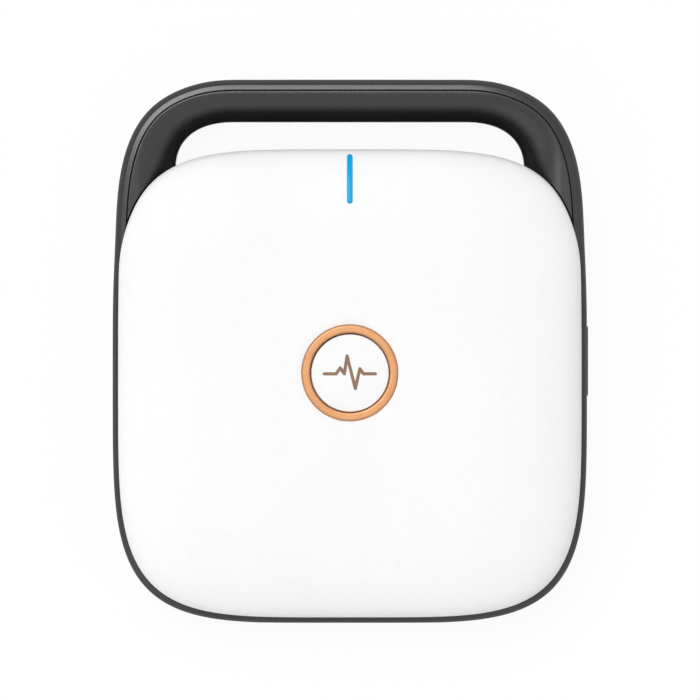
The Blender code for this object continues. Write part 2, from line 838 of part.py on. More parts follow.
def make_front_cover(materials):
    edge = cover_band / 3
    rings = cover_outer_rings()
    rings.append(level(outline(cover), cover_low + edge))
    rings.append(level(outline(cover, edge), cover_low))
    rings.append(level(outline(cover, cover_lip), cover_low))
    rings.append(level(outline(cover, cover_lip), band_z))
    inner_shares = (1.0, 0.98, 0.92, 0.80, 0.55)
    for share in inner_shares:
        rings.append(level(outline(cover, cover_wall, share), crown_at(share, crown_rise - cover_wall)))
    shape = bmesh.new()
    add_loft(shape, rings)
    front = add_object("front_cover", shape, materials["white"])

    bosses = bmesh.new()
    for x, y in boss_spots():
        share = ((abs(x) / cover["half"]) ** cover_power_up
                 + (abs(y) / cover["up"]) ** cover_power_up) ** (1 / cover_power_up)
        roof = crown_at(share, crown_rise - cover_wall) + boss_bury
        add_prism(bosses, circle(boss_radius, turning_steps // 2, (x, y)), boss_split + gap, roof)
    apply_boolean(front, add_object("cover_bosses", bosses), "UNION")

    holes = bmesh.new()
    seat = crown_z + ring_proud - ring_flange - gap
    add_turned(holes, [(0.0, crown_z + overrun), (ring_radius + seam, crown_z + overrun),
                       (ring_radius + seam, seat), (ring_skirt_radius + gap, seat),
                       (ring_skirt_radius + gap, crown_z - cover_wall - overrun),
                       (0.0, crown_z - cover_wall - overrun)], steps=fine_turning_steps)
    for x, y in boss_spots():
        top = boss_split + 3 * gap + insert_length
        add_turned(holes, [(0.0, boss_split), (insert_radius + gap, boss_split), (insert_radius + gap, top),
                           (screw_hole_radius, top), (screw_hole_radius, screw_tip + gap),
                           (0.0, screw_tip + gap)], at(x, y), turning_steps // 2)
    add_prism(holes, light_outline(seam), light_low() - gap, crown_z + overrun)
    apply_boolean(front, add_object("cover_hole_cutter", holes))
    return front


# Light bar and its diode

def light_outline(grow=0.0):
    return slot_outline(light_width + 2 * grow, light_length + 2 * grow, (0.0, light_middle_y))


def light_low():
    # The bar is a blade that reaches down to its diode.
    return board_top + diode_size[2] + 2 * gap


def make_light_pipe(materials, form):
    shape = bmesh.new()
    add_prism(shape, light_outline(), light_low(), crown_z + overrun)
    pipe = add_object("light_pipe", shape, materials["blue"])
    apply_boolean(pipe, form, "INTERSECT")
    return pipe


def make_status_led(materials):
    shape = bmesh.new()
    add_centred_box(shape, (0.0, light_middle_y), diode_size, board_top + gap)
    return add_object("status_led", shape, materials["silicone"])


# Button

def make_button_ring(materials):
    top = crown_z + ring_proud
    seat = top - ring_flange
    shape = bmesh.new()
    add_turned(shape, [(ring_radius - ring_chamfer, top), (ring_radius, top - ring_chamfer),
                       (ring_radius, seat), (ring_skirt_radius, seat),
                       (ring_skirt_radius, crown_z - ring_skirt_depth),
                       (ring_hole_radius, crown_z - ring_skirt_depth),
                       (ring_hole_radius, top - ring_chamfer), (ring_hole_radius + ring_chamfer, top)],
               steps=fine_turning_steps)
    return add_object("button_ring", shape, materials["copper"])


def make_button_cap(materials):
    top = crown_z + ring_proud - cap_recess
    well = cap_radius - cap_wall
    shape = bmesh.new()
    add_turned(shape, [(0.0, top), (cap_radius / 2, top - cap_crown / 4),
                       (cap_radius - cap_edge_round, top - cap_crown),
                       (cap_radius, top - cap_crown - cap_edge_round), (cap_radius, cap_flange_top),
                       (cap_flange_radius, cap_flange_top), (cap_flange_radius, cap_low), (well, cap_low),
                       (well, top - cap_roof), (cap_stem_radius, top - cap_roof),
                       (cap_stem_radius, cap_low), (0.0, cap_low)], steps=fine_turning_steps)
    return add_object("button_cap", shape, materials["white"])


def make_button_pad(materials):
    # A soft ring that carries the cap's flange on the board.
    low = board_top + gap
    high = cap_low - gap
    foot = cap_flange_radius + pad_foot_spread
    top = cap_flange_radius - pad_top_inset
    shape = bmesh.new()
    add_turned(shape, [(top, high), (foot, low + pad_skin / 2), (foot, low), (foot - pad_skin, low),
                       (top - pad_skin, high - pad_skin / 2), (top - pad_skin, high)])
    return add_object("button_pad", shape, materials["silicone"])


def make_button_switch(materials):
    # The plunger stands clear of the cap's stem by the cap's travel.
    shape = bmesh.new()
    low = board_top + gap
    add_centred_box(shape, (0.0, 0.0), switch_size, low)
    switch = add_object("button_switch", shape, materials["chip"])
    plunger = bmesh.new()
    add_prism(plunger, circle(plunger_radius, hole_sides), low + switch_size[2] / 2,
              cap_low - button_travel - gap)
    apply_boolean(switch, add_object("plunger_body", plunger), "UNION")
    return switch


# Boards and what they carry

def make_main_board(materials):
    shape = bmesh.new()
    length = board_reach_up + board_reach_down
    points = oblong(2 * board_half_width, length, board_corner,
                    (0.0, (board_reach_up - board_reach_down) / 2))
    add_prism(shape, points, board_low, board_top)
    board = add_object("main_board", shape, materials["board"])
    holes = bmesh.new()
    for x, y in post_spots():
        add_prism(holes, circle(board_hole_radius, hole_sides, (x, y)), board_low - overrun,
                  board_top + overrun)
    apply_boolean(board, add_object("board_hole_cutter", holes))
    return board


def make_screw(head_radius, head_height, shank_radius, length, up=1):
    # A pan-head screw seated at zero, with its head on the side that up gives.
    shape = bmesh.new()
    add_turned(shape, [(0.0, head_height), (head_radius * screw_head_crown_share, head_height),
                       (head_radius, head_height * screw_head_rim_share), (head_radius, 0.0),
                       (shank_radius, 0.0), (shank_radius, -length), (0.0, -length - shank_radius / 2)],
               Matrix.Diagonal((1, up, up, 1)), turning_steps // 2)
    return shape


def make_board_screws(materials):
    shape = make_screw(board_screw_head_radius, board_screw_head_height, board_screw_radius,
                       board_screw_length)
    return add_copies("board_screw", shape, materials["steel"], post_spots(), board_top + gap)


def on_board(share):
    reach = board_reach_up if share[1] > 0 else board_reach_down
    return share[0] * board_half_width, share[1] * reach


def make_on_board(name, share, size, material):
    shape = bmesh.new()
    points = oblong(size[0], size[1], size[2] / 4, on_board(share), 1)
    add_prism(shape, points, board_top + gap, board_top + gap + size[2])
    return add_object(name, shape, material)


def make_analog_shield(materials):
    pad_foot = cap_flange_radius + pad_foot_spread
    high_y = -pad_foot - shield_button_clear
    low_y = on_board(resistor_share)[1] + resistor_length / 2 + shield_row_clear
    middle = (shield_side_share * board_half_width, (low_y + high_y) / 2)
    shape = bmesh.new()
    points = oblong(shield_width, high_y - low_y, shield_height / 4, middle, 1)
    add_prism(shape, points, board_top + gap, board_top + gap + shield_height)
    return add_object("analog_shield", shape, materials["steel"])


def make_radio(materials):
    radio = make_on_board("radio_module", radio_share, radio_size, materials["board"])
    can = bmesh.new()
    low = board_top + gap + radio_size[2]
    x, y = on_board(radio_share)
    middle = (x, y - (radio_size[1] - radio_can_size[1]) / 2 + gap)
    add_centred_box(can, middle, (radio_can_size[0], radio_can_size[1], radio_can_size[2] + gap), low - gap)
    apply_boolean(radio, add_object("radio_can", can), "UNION")
    return radio


def make_sounder(materials):
    hole = sounder_radius * sounder_hole_share
    middle = sounder_height / 2
    shape = bmesh.new()
    add_turned(shape, [(sounder_radius, sounder_height), (sounder_radius, 0.0), (0.0, 0.0),
                       (0.0, middle), (hole, middle), (hole, sounder_height)],
               at(*on_board(sounder_share), board_top + gap))
    return add_object("sounder", shape, materials["chip"])


def make_resistors(materials):
    # A row of input resistors, moulded on one strip.
    strip = bmesh.new()
    middle_x, y = on_board(resistor_share)
    width = (resistor_count - 1) * resistor_pitch + 2 * resistor_radius
    add_centred_box(strip, (middle_x, y), (width, resistor_length / 2, resistor_radius / 2),
                    board_top + gap)
    row = add_object("protection_resistors", strip, materials["ceramic"])
    bodies = bmesh.new()
    half = resistor_length / 2
    end = resistor_radius * resistor_end_share
    for index in range(resistor_count):
        x = middle_x + (index - (resistor_count - 1) / 2) * resistor_pitch
        add_turned(bodies, [(0.0, -half), (end, -half), (resistor_radius, -resistor_length / 3),
                            (resistor_radius, resistor_length / 3), (end, half), (0.0, half)],
                   along_y(x, y, board_top + gap + resistor_radius), turning_steps // 4)
    apply_boolean(row, add_object("resistor_bodies", bodies), "UNION")
    return row


# Patient-cable socket

def make_socket_shell(materials):
    shape = bmesh.new()
    add_prism(shape, oblong(flange_width, flange_height, flange_corner, (0.0, socket_z)),
              flange_y, flange_y + flange_thickness, "Y")
    shell = add_object("patient_socket_shell", shape, materials["steel"])
    dee = bmesh.new()
    add_prism(dee, dee_outline(), flange_y - dee_length, flange_y + flange_thickness / 2, "Y")
    apply_boolean(shell, add_object("socket_dee_body", dee), "UNION")
    hollow = bmesh.new()
    add_prism(hollow, dee_outline(-dee_wall), flange_y - dee_length - overrun, flange_y + overrun, "Y")
    apply_boolean(shell, add_object("socket_dee_cutter", hollow))
    holes = bmesh.new()
    for side in (-1, 1):
        add_prism(holes, circle(jack_shank_radius + gap, hole_sides, (side * jack_spacing / 2, socket_z)),
                  flange_y - overrun, flange_y + flange_thickness + overrun, "Y")
    apply_boolean(shell, add_object("flange_hole_cutter", holes))
    return shell


def contact_rows():
    # Contacts of each row, as (row, x, z).
    for row, count in enumerate(pins_per_row):
        z = socket_z + (0.5 - row) * pin_row_step
        for index in range(count):
            yield row, (index - (count - 1) / 2) * pin_pitch, z


def make_socket_insert(materials):
    face = flange_y - dee_length + dee_wall
    shape = bmesh.new()
    add_prism(shape, dee_outline(-dee_wall - gap), face, pin_back_y - gap, "Y")
    insert = add_object("patient_socket_insert", shape, materials["insulator"])
    holes = bmesh.new()
    for row, x, z in contact_rows():
        add_prism(holes, circle(pin_hole_radius, hole_sides // 2, (x, z)), face - overrun,
                  face + pin_hole_depth, "Y")
    apply_boolean(insert, add_object("contact_hole_cutter", holes))
    return insert


def make_socket_pins(materials):
    # Bent pins that leave the insert's back and turn up to the board, one row behind the other.
    shape = bmesh.new()
    half = pin_size / 2
    top = board_low - gap
    for row, x, z in contact_rows():
        far = pin_back_y + 2 * pin_size * (row + 1)
        elbow = [(pin_back_y, z - half), (far, z - half), (far, top), (far - pin_size, top),
                 (far - pin_size, z + half), (pin_back_y, z + half)]
        add_prism(shape, elbow, x - half, x + half, "X")
    pins = add_object("socket_pin_bodies", shape)
    comb = bmesh.new()
    length = pin_pitch * max(pins_per_row)
    add_box(comb, (-length / 2, pin_back_y + half, top - 2 * pin_comb_height),
            (length / 2, comb_back_y, top - pin_comb_height))
    carrier = add_object("patient_socket_pins", comb, materials["steel"])
    apply_boolean(carrier, pins, "UNION")
    return carrier


def make_jack_screws(materials):
    shape = bmesh.new()
    shank = socket_back_wall + flange_thickness + 3 * gap
    bore_end = 2 * jack_bore_radius - jack_length
    add_turned(shape, [(0.0, bore_end), (jack_bore_radius, bore_end), (jack_bore_radius, -jack_length),
                       (jack_radius, -jack_length), (jack_radius, 0.0), (jack_shank_radius, 0.0),
                       (jack_shank_radius, shank), (0.0, shank)],
               along_y(0.0, 0.0, 0.0, 1), hole_sides // 2)
    spots = [(side * jack_spacing / 2, pocket_floor_y - gap) for side in (-1, 1)]
    return add_copies("socket_jack_screw", shape, materials["steel"], spots, socket_z)


# USB socket, its board and the port cover

def make_usb_socket(materials):
    front = housing_half_width - port_cover_thickness + port_cover_proud - 2 * gap
    back = front - usb_length
    middle = (port_middle_y, port_z)
    shape = bmesh.new()
    add_prism(shape, slot_outline(usb_width, usb_height, middle), back, front, "X")
    socket = add_object("usb_socket", shape, materials["steel"])
    hollow = bmesh.new()
    add_prism(hollow, slot_outline(usb_width - 2 * usb_wall, usb_height - 2 * usb_wall, middle),
              back + usb_back_wall, front + overrun, "X")
    apply_boolean(socket, add_object("usb_hollow_cutter", hollow))
    length, width, height = usb_tongue
    tongue = bmesh.new()
    add_box(tongue, (back + usb_back_wall / 2, port_middle_y - width / 2, port_z - height / 2),
            (back + usb_back_wall + length, port_middle_y + width / 2, port_z + height / 2))
    apply_boolean(socket, add_object("usb_tongue_body", tongue), "UNION")
    return socket


def make_usb_board(materials):
    low = usb_board_top - board_thickness
    half = usb_board_length / 2
    shape = bmesh.new()
    add_box(shape, (usb_board_inner_x, port_middle_y - half, low),
            (usb_board_outer_x, port_middle_y + half, usb_board_top))
    board = add_object("usb_board", shape, materials["board"])
    holes = bmesh.new()
    for spot in usb_post_spots():
        add_prism(holes, circle(board_hole_radius, hole_sides, spot), low - overrun,
                  usb_board_top + overrun)
    apply_boolean(board, add_object("usb_board_hole_cutter", holes))
    return board


def make_usb_board_screws(materials):
    length = usb_board_top - floor_z - 2 * gap
    shape = make_screw(usb_screw_head_radius, board_screw_head_height, board_screw_radius, length)
    return add_copies("usb_board_screw", shape, materials["steel"], usb_post_spots(), usb_board_top + gap)


def make_board_link(materials):
    x = usb_board_inner_x + link_inset
    low = usb_board_top + gap
    middle = low + link_size[2] / 2
    shape = bmesh.new()
    add_centred_box(shape, (x, port_middle_y), link_size, low)
    link = add_object("board_link", shape, materials["chip"])
    pins = bmesh.new()
    for index in range(link_pin_count):
        y = port_middle_y + (index - (link_pin_count - 1) / 2) * link_pin_pitch
        add_centred_box(pins, (x, y), (pin_size, pin_size, board_low - gap - middle), middle)
    apply_boolean(link, add_object("link_pins", pins), "UNION")
    return link


def make_port_cover(materials):
    # Turns outwards about its lower outer edge.
    outer = housing_half_width + port_cover_proud
    inner = outer - port_cover_thickness
    middle = (port_middle_y, port_z)
    rings = []
    for x, shrink in ((inner, 0.0), (outer - port_cover_round, 0.0), (outer, port_cover_round)):
        points = oblong(port_cover_length - 2 * shrink, port_cover_width - 2 * shrink,
                        port_cover_corner, middle)
        rings.append([(x, y, z) for y, z in points])
    shape = bmesh.new()
    add_loft(shape, rings)
    flap = add_object("port_cover", shape, materials["rubber"])
    plug = bmesh.new()
    add_prism(plug, slot_outline(usb_width - 2 * (usb_wall + plug_clear),
                                 usb_height - 2 * (usb_wall + plug_clear), middle),
              inner - plug_length, inner + port_cover_thickness / 2, "X")
    plug_body = add_object("port_plug_body", plug)
    apply_boolean(flap, plug_body, "UNION")

    hinge = bpy.data.objects.new("port_cover_hinge", None)
    bpy.context.scene.collection.objects.link(hinge)
    hinge.parent = recorder
    hinge.location = (housing_half_width, port_middle_y, port_z - port_cover_width / 2)
    for thing in (flap, plug_body):
        thing.parent = hinge
        thing.matrix_parent_inverse = Matrix.Translation(-hinge.location)
    return flap


# Batteries, contacts and door

def make_cells(materials):
    for index, y in enumerate(cell_rows()):
        towards = 1 if index == 0 else -1
        half = cell_length / 2
        round_off = cell_edge_round
        shape = bmesh.new()
        add_turned(shape, [(0.0, -half), (cell_radius - round_off, -half), (cell_radius, -half + round_off),
                           (cell_radius, half - cell_nub_length - round_off),
                           (cell_radius - round_off, half - cell_nub_length),
                           (cell_nub_radius, half - cell_nub_length), (cell_nub_radius, half), (0.0, half)],
                   along_x(0.0, y, cell_z, towards))
        add_object("battery_cell_%d" % (index + 1), shape, materials["cell"])


def make_contact_plates(materials):
    # One plate bridges the two cells at the -X end, and each has its own plate at the other end.
    rows = cell_rows()
    half = contact_plate_size / 2
    plates = (("contact_bridge", -1, rows[0], rows[1]), ("contact_plate_1", 1, rows[0], rows[0]),
              ("contact_plate_2", 1, rows[1], rows[1]))
    for name, side, first, last in plates:
        near = side * (bay_half_length - gap)
        far = near - side * contact_plate_thickness
        shape = bmesh.new()
        add_box(shape, (min(near, far), first - half, cell_z - half),
                (max(near, far), last + half, cell_z + half))
        add_object(name, shape, materials["brass"])


def make_contact_spring(name, y, end, material):
    # A tapering coil between the flat end of a cell and its plate.
    curve = bpy.data.curves.new(name, "CURVE")
    curve.dimensions = "3D"
    curve.bevel_depth = spring_wire / 2
    curve.bevel_resolution = 1
    curve.use_fill_caps = True
    curve.materials.append(material)
    reach = bay_contact_room - contact_plate_thickness - 3 * gap - spring_wire
    count = spring_turns * spring_points_per_turn
    spline = curve.splines.new("POLY")
    spline.points.add(count)
    for step in range(count + 1):
        turn = 2 * math.pi * step / spring_points_per_turn
        share = step / count
        radius = spring_radius * (1 - spring_taper_share * share)
        x = end * (cell_length / 2 + gap + spring_wire / 2 + reach * (1 - share))
        spline.points[step].co = (x, y + radius * math.cos(turn), cell_z + radius * math.sin(turn), 1.0)
    spring = bpy.data.objects.new(name, curve)
    bpy.context.scene.collection.objects.link(spring)
    spring.parent = recorder


def make_contact_springs(materials):
    for index, y in enumerate(cell_rows()):
        make_contact_spring("contact_spring_%d" % (index + 1), y, -1 if index == 0 else 1,
                            materials["steel"])


def make_battery_door(materials, envelope):
    shape = bmesh.new()
    add_prism(shape, door_profile(), -housing_reach - overrun, door_end_y, "Y")
    door = add_object("battery_door", shape, materials["charcoal"])
    apply_boolean(door, envelope, "INTERSECT")
    grips = bmesh.new()
    for index in range(grip_count):
        y = -housing_reach + grip_inset + index * grip_pitch
        add_box(grips, (-grip_length / 2, y - grip_width / 2, back_z - overrun),
                (grip_length / 2, y + grip_width / 2, back_z + grip_depth))
    apply_boolean(door, add_object("grip_cutter", grips))
    return door


# Screws, inserts and feet

def make_housing_screws(materials):
    shape = make_screw(screw_head_radius, screw_head_height, screw_radius, screw_length, -1)
    return add_copies("housing_screw", shape, materials["steel"], boss_spots(), screw_seat)


def make_inserts(materials):
    shape = bmesh.new()
    add_turned(shape, [(insert_radius, insert_length), (insert_radius, 0.0), (insert_hole_radius, 0.0),
                       (insert_hole_radius, insert_length)], steps=turning_steps // 2)
    return add_copies("threaded_insert", shape, materials["brass"], boss_spots(), boss_split + 2 * gap)


def make_feet(materials):
    shape = bmesh.new()
    height = foot_standing + foot_sunk
    add_turned(shape, [(0.0, height), (foot_radius, height), (foot_radius, foot_edge_round),
                       (foot_radius - foot_edge_round, 0.0), (0.0, 0.0)])
    return add_copies("rubber_foot", shape, materials["rubber"], foot_spots())


def build():
    global recorder
    for thing in list(bpy.data.objects):
        bpy.data.objects.remove(thing, do_unlink=True)
    recorder = bpy.data.objects.new("recorder", None)
    bpy.context.scene.collection.objects.link(recorder)
    recorder.location = (0.0, (housing_reach - handle_reach) / 2, 0.0)

    materials = make_materials()
    opening = make_handle_opening()
    envelope = make_envelope()
    form = make_cover_form()

    make_rear_housing(materials, opening)
    make_mid_frame(materials, opening)
    make_cover_seal(materials)
    make_front_cover(materials)
    make_light_pipe(materials, form)
    make_status_led(materials)
    make_button_ring(materials)
    make_button_cap(materials)
    make_button_pad(materials)
    make_button_switch(materials)
    make_main_board(materials)
    make_board_screws(materials)
    make_analog_shield(materials)
    make_on_board("isolated_supply", supply_share, supply_size, materials["chip"])
    make_on_board("processor", processor_share, processor_size, materials["chip"])
    make_radio(materials)
    make_sounder(materials)
    make_resistors(materials)
    make_socket_shell(materials)
    make_socket_insert(materials)
    make_socket_pins(materials)
    make_jack_screws(materials)
    make_usb_socket(materials)
    make_usb_board(materials)
    make_usb_board_screws(materials)
    make_board_link(materials)
    make_port_cover(materials)
    make_cells(materials)
    make_contact_plates(materials)
    make_contact_springs(materials)
    make_battery_door(materials, envelope)
    make_housing_screws(materials)
    make_inserts(materials)
    make_feet(materials)


build()
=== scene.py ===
import json
import math

import bmesh
import bpy
from mathutils import Matrix, Vector

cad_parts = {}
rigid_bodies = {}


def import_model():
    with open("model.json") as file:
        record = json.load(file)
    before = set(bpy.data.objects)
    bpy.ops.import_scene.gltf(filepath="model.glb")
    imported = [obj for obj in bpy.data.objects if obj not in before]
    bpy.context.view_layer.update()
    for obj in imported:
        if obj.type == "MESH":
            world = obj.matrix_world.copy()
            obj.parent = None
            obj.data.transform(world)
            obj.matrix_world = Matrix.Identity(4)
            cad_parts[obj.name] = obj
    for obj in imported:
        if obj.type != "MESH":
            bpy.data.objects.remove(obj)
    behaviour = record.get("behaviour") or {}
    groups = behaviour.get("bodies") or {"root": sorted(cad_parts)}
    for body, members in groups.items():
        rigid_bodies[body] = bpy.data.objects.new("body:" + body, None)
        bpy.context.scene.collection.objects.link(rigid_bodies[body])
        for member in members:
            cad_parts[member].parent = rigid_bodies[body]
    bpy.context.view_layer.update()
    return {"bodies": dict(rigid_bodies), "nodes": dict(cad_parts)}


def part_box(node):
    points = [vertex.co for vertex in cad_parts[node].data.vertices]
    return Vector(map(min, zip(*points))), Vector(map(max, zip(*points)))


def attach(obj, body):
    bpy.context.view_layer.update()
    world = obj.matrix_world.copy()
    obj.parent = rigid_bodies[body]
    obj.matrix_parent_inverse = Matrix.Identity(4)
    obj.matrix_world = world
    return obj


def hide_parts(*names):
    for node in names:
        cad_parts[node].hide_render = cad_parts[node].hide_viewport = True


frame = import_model()
for leftOver in [thing for thing in bpy.data.objects
                 if thing not in {*frame["bodies"].values(), *frame["nodes"].values()}]:
    bpy.data.objects.remove(leftOver)  # what a new Blender file holds
buttonLow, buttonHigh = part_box("button_ring")
middleY = (buttonLow.y + buttonHigh.y) / 2    # pieces are drawn about the button, then moved by this
over = 0.001                           # how far a cutter or an inner block reaches past a face
tiny = 1e-7                            # points nearer to each other than this are merged
print("frame loaded")


# shader maths

class Wire:                            # a node's socket that Python arithmetic works on
    def __init__(self, tree, socket):
        self.tree, self.socket = tree, socket

    def node(self, kind, settings, sockets, output=0):
        made = self.tree.nodes.new(kind)
        for name, value in settings.items():
            setattr(made, name, value)
        for key, value in sockets.items():
            if isinstance(value, Wire):
                self.tree.links.new(value.socket, made.inputs[key])
            else:
                made.inputs[key].default_value = value
        return Wire(self.tree, made.outputs[output])

    def maths(self, operation, *values):
        return self.node("ShaderNodeMath", {"operation": operation}, dict(enumerate(values)))

    def __add__(self, other):
        return self.maths("ADD", self, other)

    __radd__ = __add__

    def __sub__(self, other):
        return self.maths("SUBTRACT", self, other)

    def __rsub__(self, other):
        return self.maths("SUBTRACT", other, self)

    def __mul__(self, other):
        return self.maths("MULTIPLY", self, other)

    __rmul__ = __mul__

    def __truediv__(self, other):
        return self.maths("DIVIDE", self, other)

    def away(self):                    # how far from nought, either way
        return self.maths("ABSOLUTE", self)

    def mixed(self, other, share):     # values, with this share of the other one
        return self * (1 - share) + other * share

    def step(self, low, high):         # 0 below low, 1 above high, smooth between
        return self.node("ShaderNodeMapRange", {"interpolation_type": "SMOOTHSTEP"},
                         {0: self, 1: low, 2: high, 3: 0.0, 4: 1.0})

    def placed(self, shift=(0, 0, 0), scale=(1, 1, 1)):
        return self.node("ShaderNodeMapping", {}, {0: self, 1: shift, 3: scale})

    def noise(self, scale, detail=3.0, rough=0.6):
        return self.node("ShaderNodeTexNoise", {}, {"Vector": self, "Scale": scale, "Detail": detail,
                                                    "Roughness": rough})

    def cells(self, scale):
        return self.node("ShaderNodeTexVoronoi", {"feature": "F1"}, {"Vector": self, "Scale": scale})

    def axis(self, name):
        return self.node("ShaderNodeSeparateXYZ", {}, {0: self}, "XYZ".index(name))

    def blend(self, first, second):    # colours, with this wire as the factor
        return self.node("ShaderNodeMix", {"data_type": "RGBA"},
                         {0: self, 6: colourOf(first), 7: colourOf(second)}, 2)

    def bump(self, distance):
        return self.node("ShaderNodeBump", {}, {"Height": self, "Distance": distance, "Strength": 1.0})


def colourOf(value):
    return value if isinstance(value, Wire) else (*value, 1.0)


def startFinish(name, constants):
    # a new material: its name, its shader's fixed sockets, and a wire of Object coordinates
    material = bpy.data.materials.new(name)
    material.use_nodes = True
    shader = material.node_tree.nodes["Principled BSDF"]
    for socket, value in constants.items():
        shader.inputs[socket].default_value = value
    coords = material.node_tree.nodes.new("ShaderNodeTexCoord")
    return material, shader, Wire(material.node_tree, coords.outputs["Object"])


def feed(shader, **wires):
    for socket, wire in wires.items():
        shader.id_data.links.new(wire.socket, shader.inputs[socket.replace("_", " ")])


# finishes: a scale counts features in a metre, and a tone is where one colour turns into the other

plastics = {
    "white": ("satin_white_plastic", {
        "dark": (0.885, 0.888, 0.890), "light": (0.915, 0.916, 0.915), "roughness": 0.46, "spread": 0.12,
        "grain": 3200.0, "flow": 38.0, "depth": 0.0000022, "specular": 0.20}),
    "charcoal": ("satin_charcoal_plastic", {
        "dark": (0.0120, 0.0122, 0.0125), "light": (0.0160, 0.0162, 0.0165), "roughness": 0.19,
        "spread": 0.10, "grain": 2600.0, "flow": 46.0, "depth": 0.0000006, "specular": 0.50}),
    "mark": ("brown_pad_print", {
        "dark": (0.225, 0.125, 0.072), "light": (0.285, 0.165, 0.100), "roughness": 0.42, "spread": 0.1,
        "grain": 4200.0, "flow": 220.0, "depth": 0.000002, "specular": 0.3})}
moulding = {"pitScale": 0.6, "pitShare": 0.4, "dustScale": 0.22, "dustShare": 0.4, "grainShare": 0.3,
            "flowStretch": (1.0, 0.35, 1.0), "flowRough": 0.55, "tone": (0.3, 0.7)}


def grainPlastic(name, look):
    # moulded plastic: fine spark-eroded grain, faint flow marks and a little unevenness of gloss
    material, shader, place = startFinish(name, {"Specular IOR Level": look["specular"]})
    grain = place.noise(look["grain"])
    pits = place.cells(look["grain"] * moulding["pitScale"])
    flow = place.placed(scale=moulding["flowStretch"]).noise(look["flow"], rough=moulding["flowRough"])
    dust = place.noise(look["grain"] * moulding["dustScale"], 2.0, 0.5)
    tone = flow.mixed(dust, moulding["dustShare"]).step(*moulding["tone"])
    feed(shader, Base_Color=tone.blend(look["dark"], look["light"]),
         Roughness=flow.mixed(grain, moulding["grainShare"]) * look["spread"] + look["roughness"],
         Normal=grain.mixed(pits, moulding["pitShare"]).bump(look["depth"]))
    return material


rubbers = {                            # name, darker and lighter colour, roughness, scale of the skin
    "rubber": ("black_rubber", (0.018, 0.018, 0.019), (0.034, 0.034, 0.035), 0.62, 2200.0),
    "silicone": ("clear_silicone", (0.60, 0.62, 0.63), (0.70, 0.72, 0.73), 0.38, 900.0),
    "chip": ("moulded_epoxy", (0.016, 0.016, 0.018), (0.028, 0.028, 0.030), 0.42, 5200.0),
    "insulator": ("socket_insulator", (0.014, 0.030, 0.085), (0.020, 0.042, 0.115), 0.40, 3600.0),
    "ceramic": ("resistor_lacquer", (0.16, 0.33, 0.42), (0.24, 0.42, 0.52), 0.30, 1500.0)}
mattSkin = {"specular": 0.3, "bloom": 180.0, "tone": (0.35, 0.75), "spread": 0.15, "depth": 0.000008}


def mattFinish(name, dark, light, roughness, scale):
    # matt rubber or resin: a pale bloom and a coarse, soft skin
    material, shader, place = startFinish(name, {"Specular IOR Level": mattSkin["specular"]})
    skin = place.noise(scale, 4.0, 0.65)
    bloom = place.noise(mattSkin["bloom"], 4.0)
    feed(shader, Base_Color=bloom.step(*mattSkin["tone"]).blend(dark, light),
         Roughness=bloom * mattSkin["spread"] + roughness, Normal=skin.bump(mattSkin["depth"]))
    return material


metals = {                             # name, tarnished and clean colour, roughness
    "steel": ("nickel_plate", (0.50, 0.49, 0.47), (0.66, 0.66, 0.65), 0.20),
    "brass": ("turned_brass", (0.60, 0.40, 0.15), (0.78, 0.58, 0.27), 0.22)}
drawing = {"stretch": (1.0, 1.0, 12.0), "lines": 900.0, "tarnish": 260.0, "tone": (0.35, 0.75), "dull": 0.08,
           "lineSpread": 0.16, "tarnishSpread": 0.10, "depth": 0.0000012}


def metalFinish(name, dark, light, roughness):
    # plated or stamped metal: drawn lines one way, with slight tarnish
    material, shader, place = startFinish(name, {})
    lines = place.placed(scale=drawing["stretch"]).noise(drawing["lines"])
    tarnish = place.noise(drawing["tarnish"], 4.0)
    feed(shader, Base_Color=tarnish.step(*drawing["tone"]).blend(light, dark),
         Metallic=1.0 - tarnish * drawing["dull"], Normal=lines.bump(drawing["depth"]),
         Roughness=lines * drawing["lineSpread"] + tarnish * drawing["tarnishSpread"] + roughness)
    return material


copper = {"deep": (0.545, 0.250, 0.102), "pale": (0.625, 0.305, 0.135), "specular": 0.4, "rings": 827.63,
          "distortion": 1.4, "cloud": 160.0, "tone": (0.28, 0.72), "ringShare": 0.2, "roughness": 0.30,
          "ringSpread": 0.10, "cloudSpread": 0.08, "metal": 0.30, "metalSpread": 0.10, "depth": 0.0000012}


def copperFinish():
    # satin anodised ring, turned on a lathe: fine circular marks and soft tone changes
    material, shader, place = startFinish("copper_anodised", {"Specular IOR Level": copper["specular"]})
    about = place.placed(shift=(0.0, -middleY, 0.0))
    rings = about.node("ShaderNodeTexWave", {"wave_type": "RINGS", "rings_direction": "Z"},
                       {"Vector": about, "Scale": copper["rings"], "Distortion": copper["distortion"],
                        "Detail": 2.0, "Detail Scale": 0.4})
    cloud = about.noise(copper["cloud"])
    colour = cloud.mixed(rings, copper["ringShare"]).step(*copper["tone"])
    feed(shader, Base_Color=colour.blend(copper["deep"], copper["pale"]),
         Roughness=rings * copper["ringSpread"] + cloud * copper["cloudSpread"] + copper["roughness"],
         Metallic=cloud * copper["metalSpread"] + copper["metal"], Normal=rings.bump(copper["depth"]))
    return material


# the tip colour, from shadeFrom on, is painted shade at the bar's ends
diffuser = {"core": (0.0, 0.350, 0.680), "tip": (0.0, 0.250, 0.520), "middle": 0.0425, "reach": 0.0056,
            "shadeFrom": 0.80, "specular": 0.12, "glow": 0.12, "cloud": 700.0, "cloudShare": 0.15,
            "roughness": 0.22, "spread": 0.12, "depth": 0.0000010}


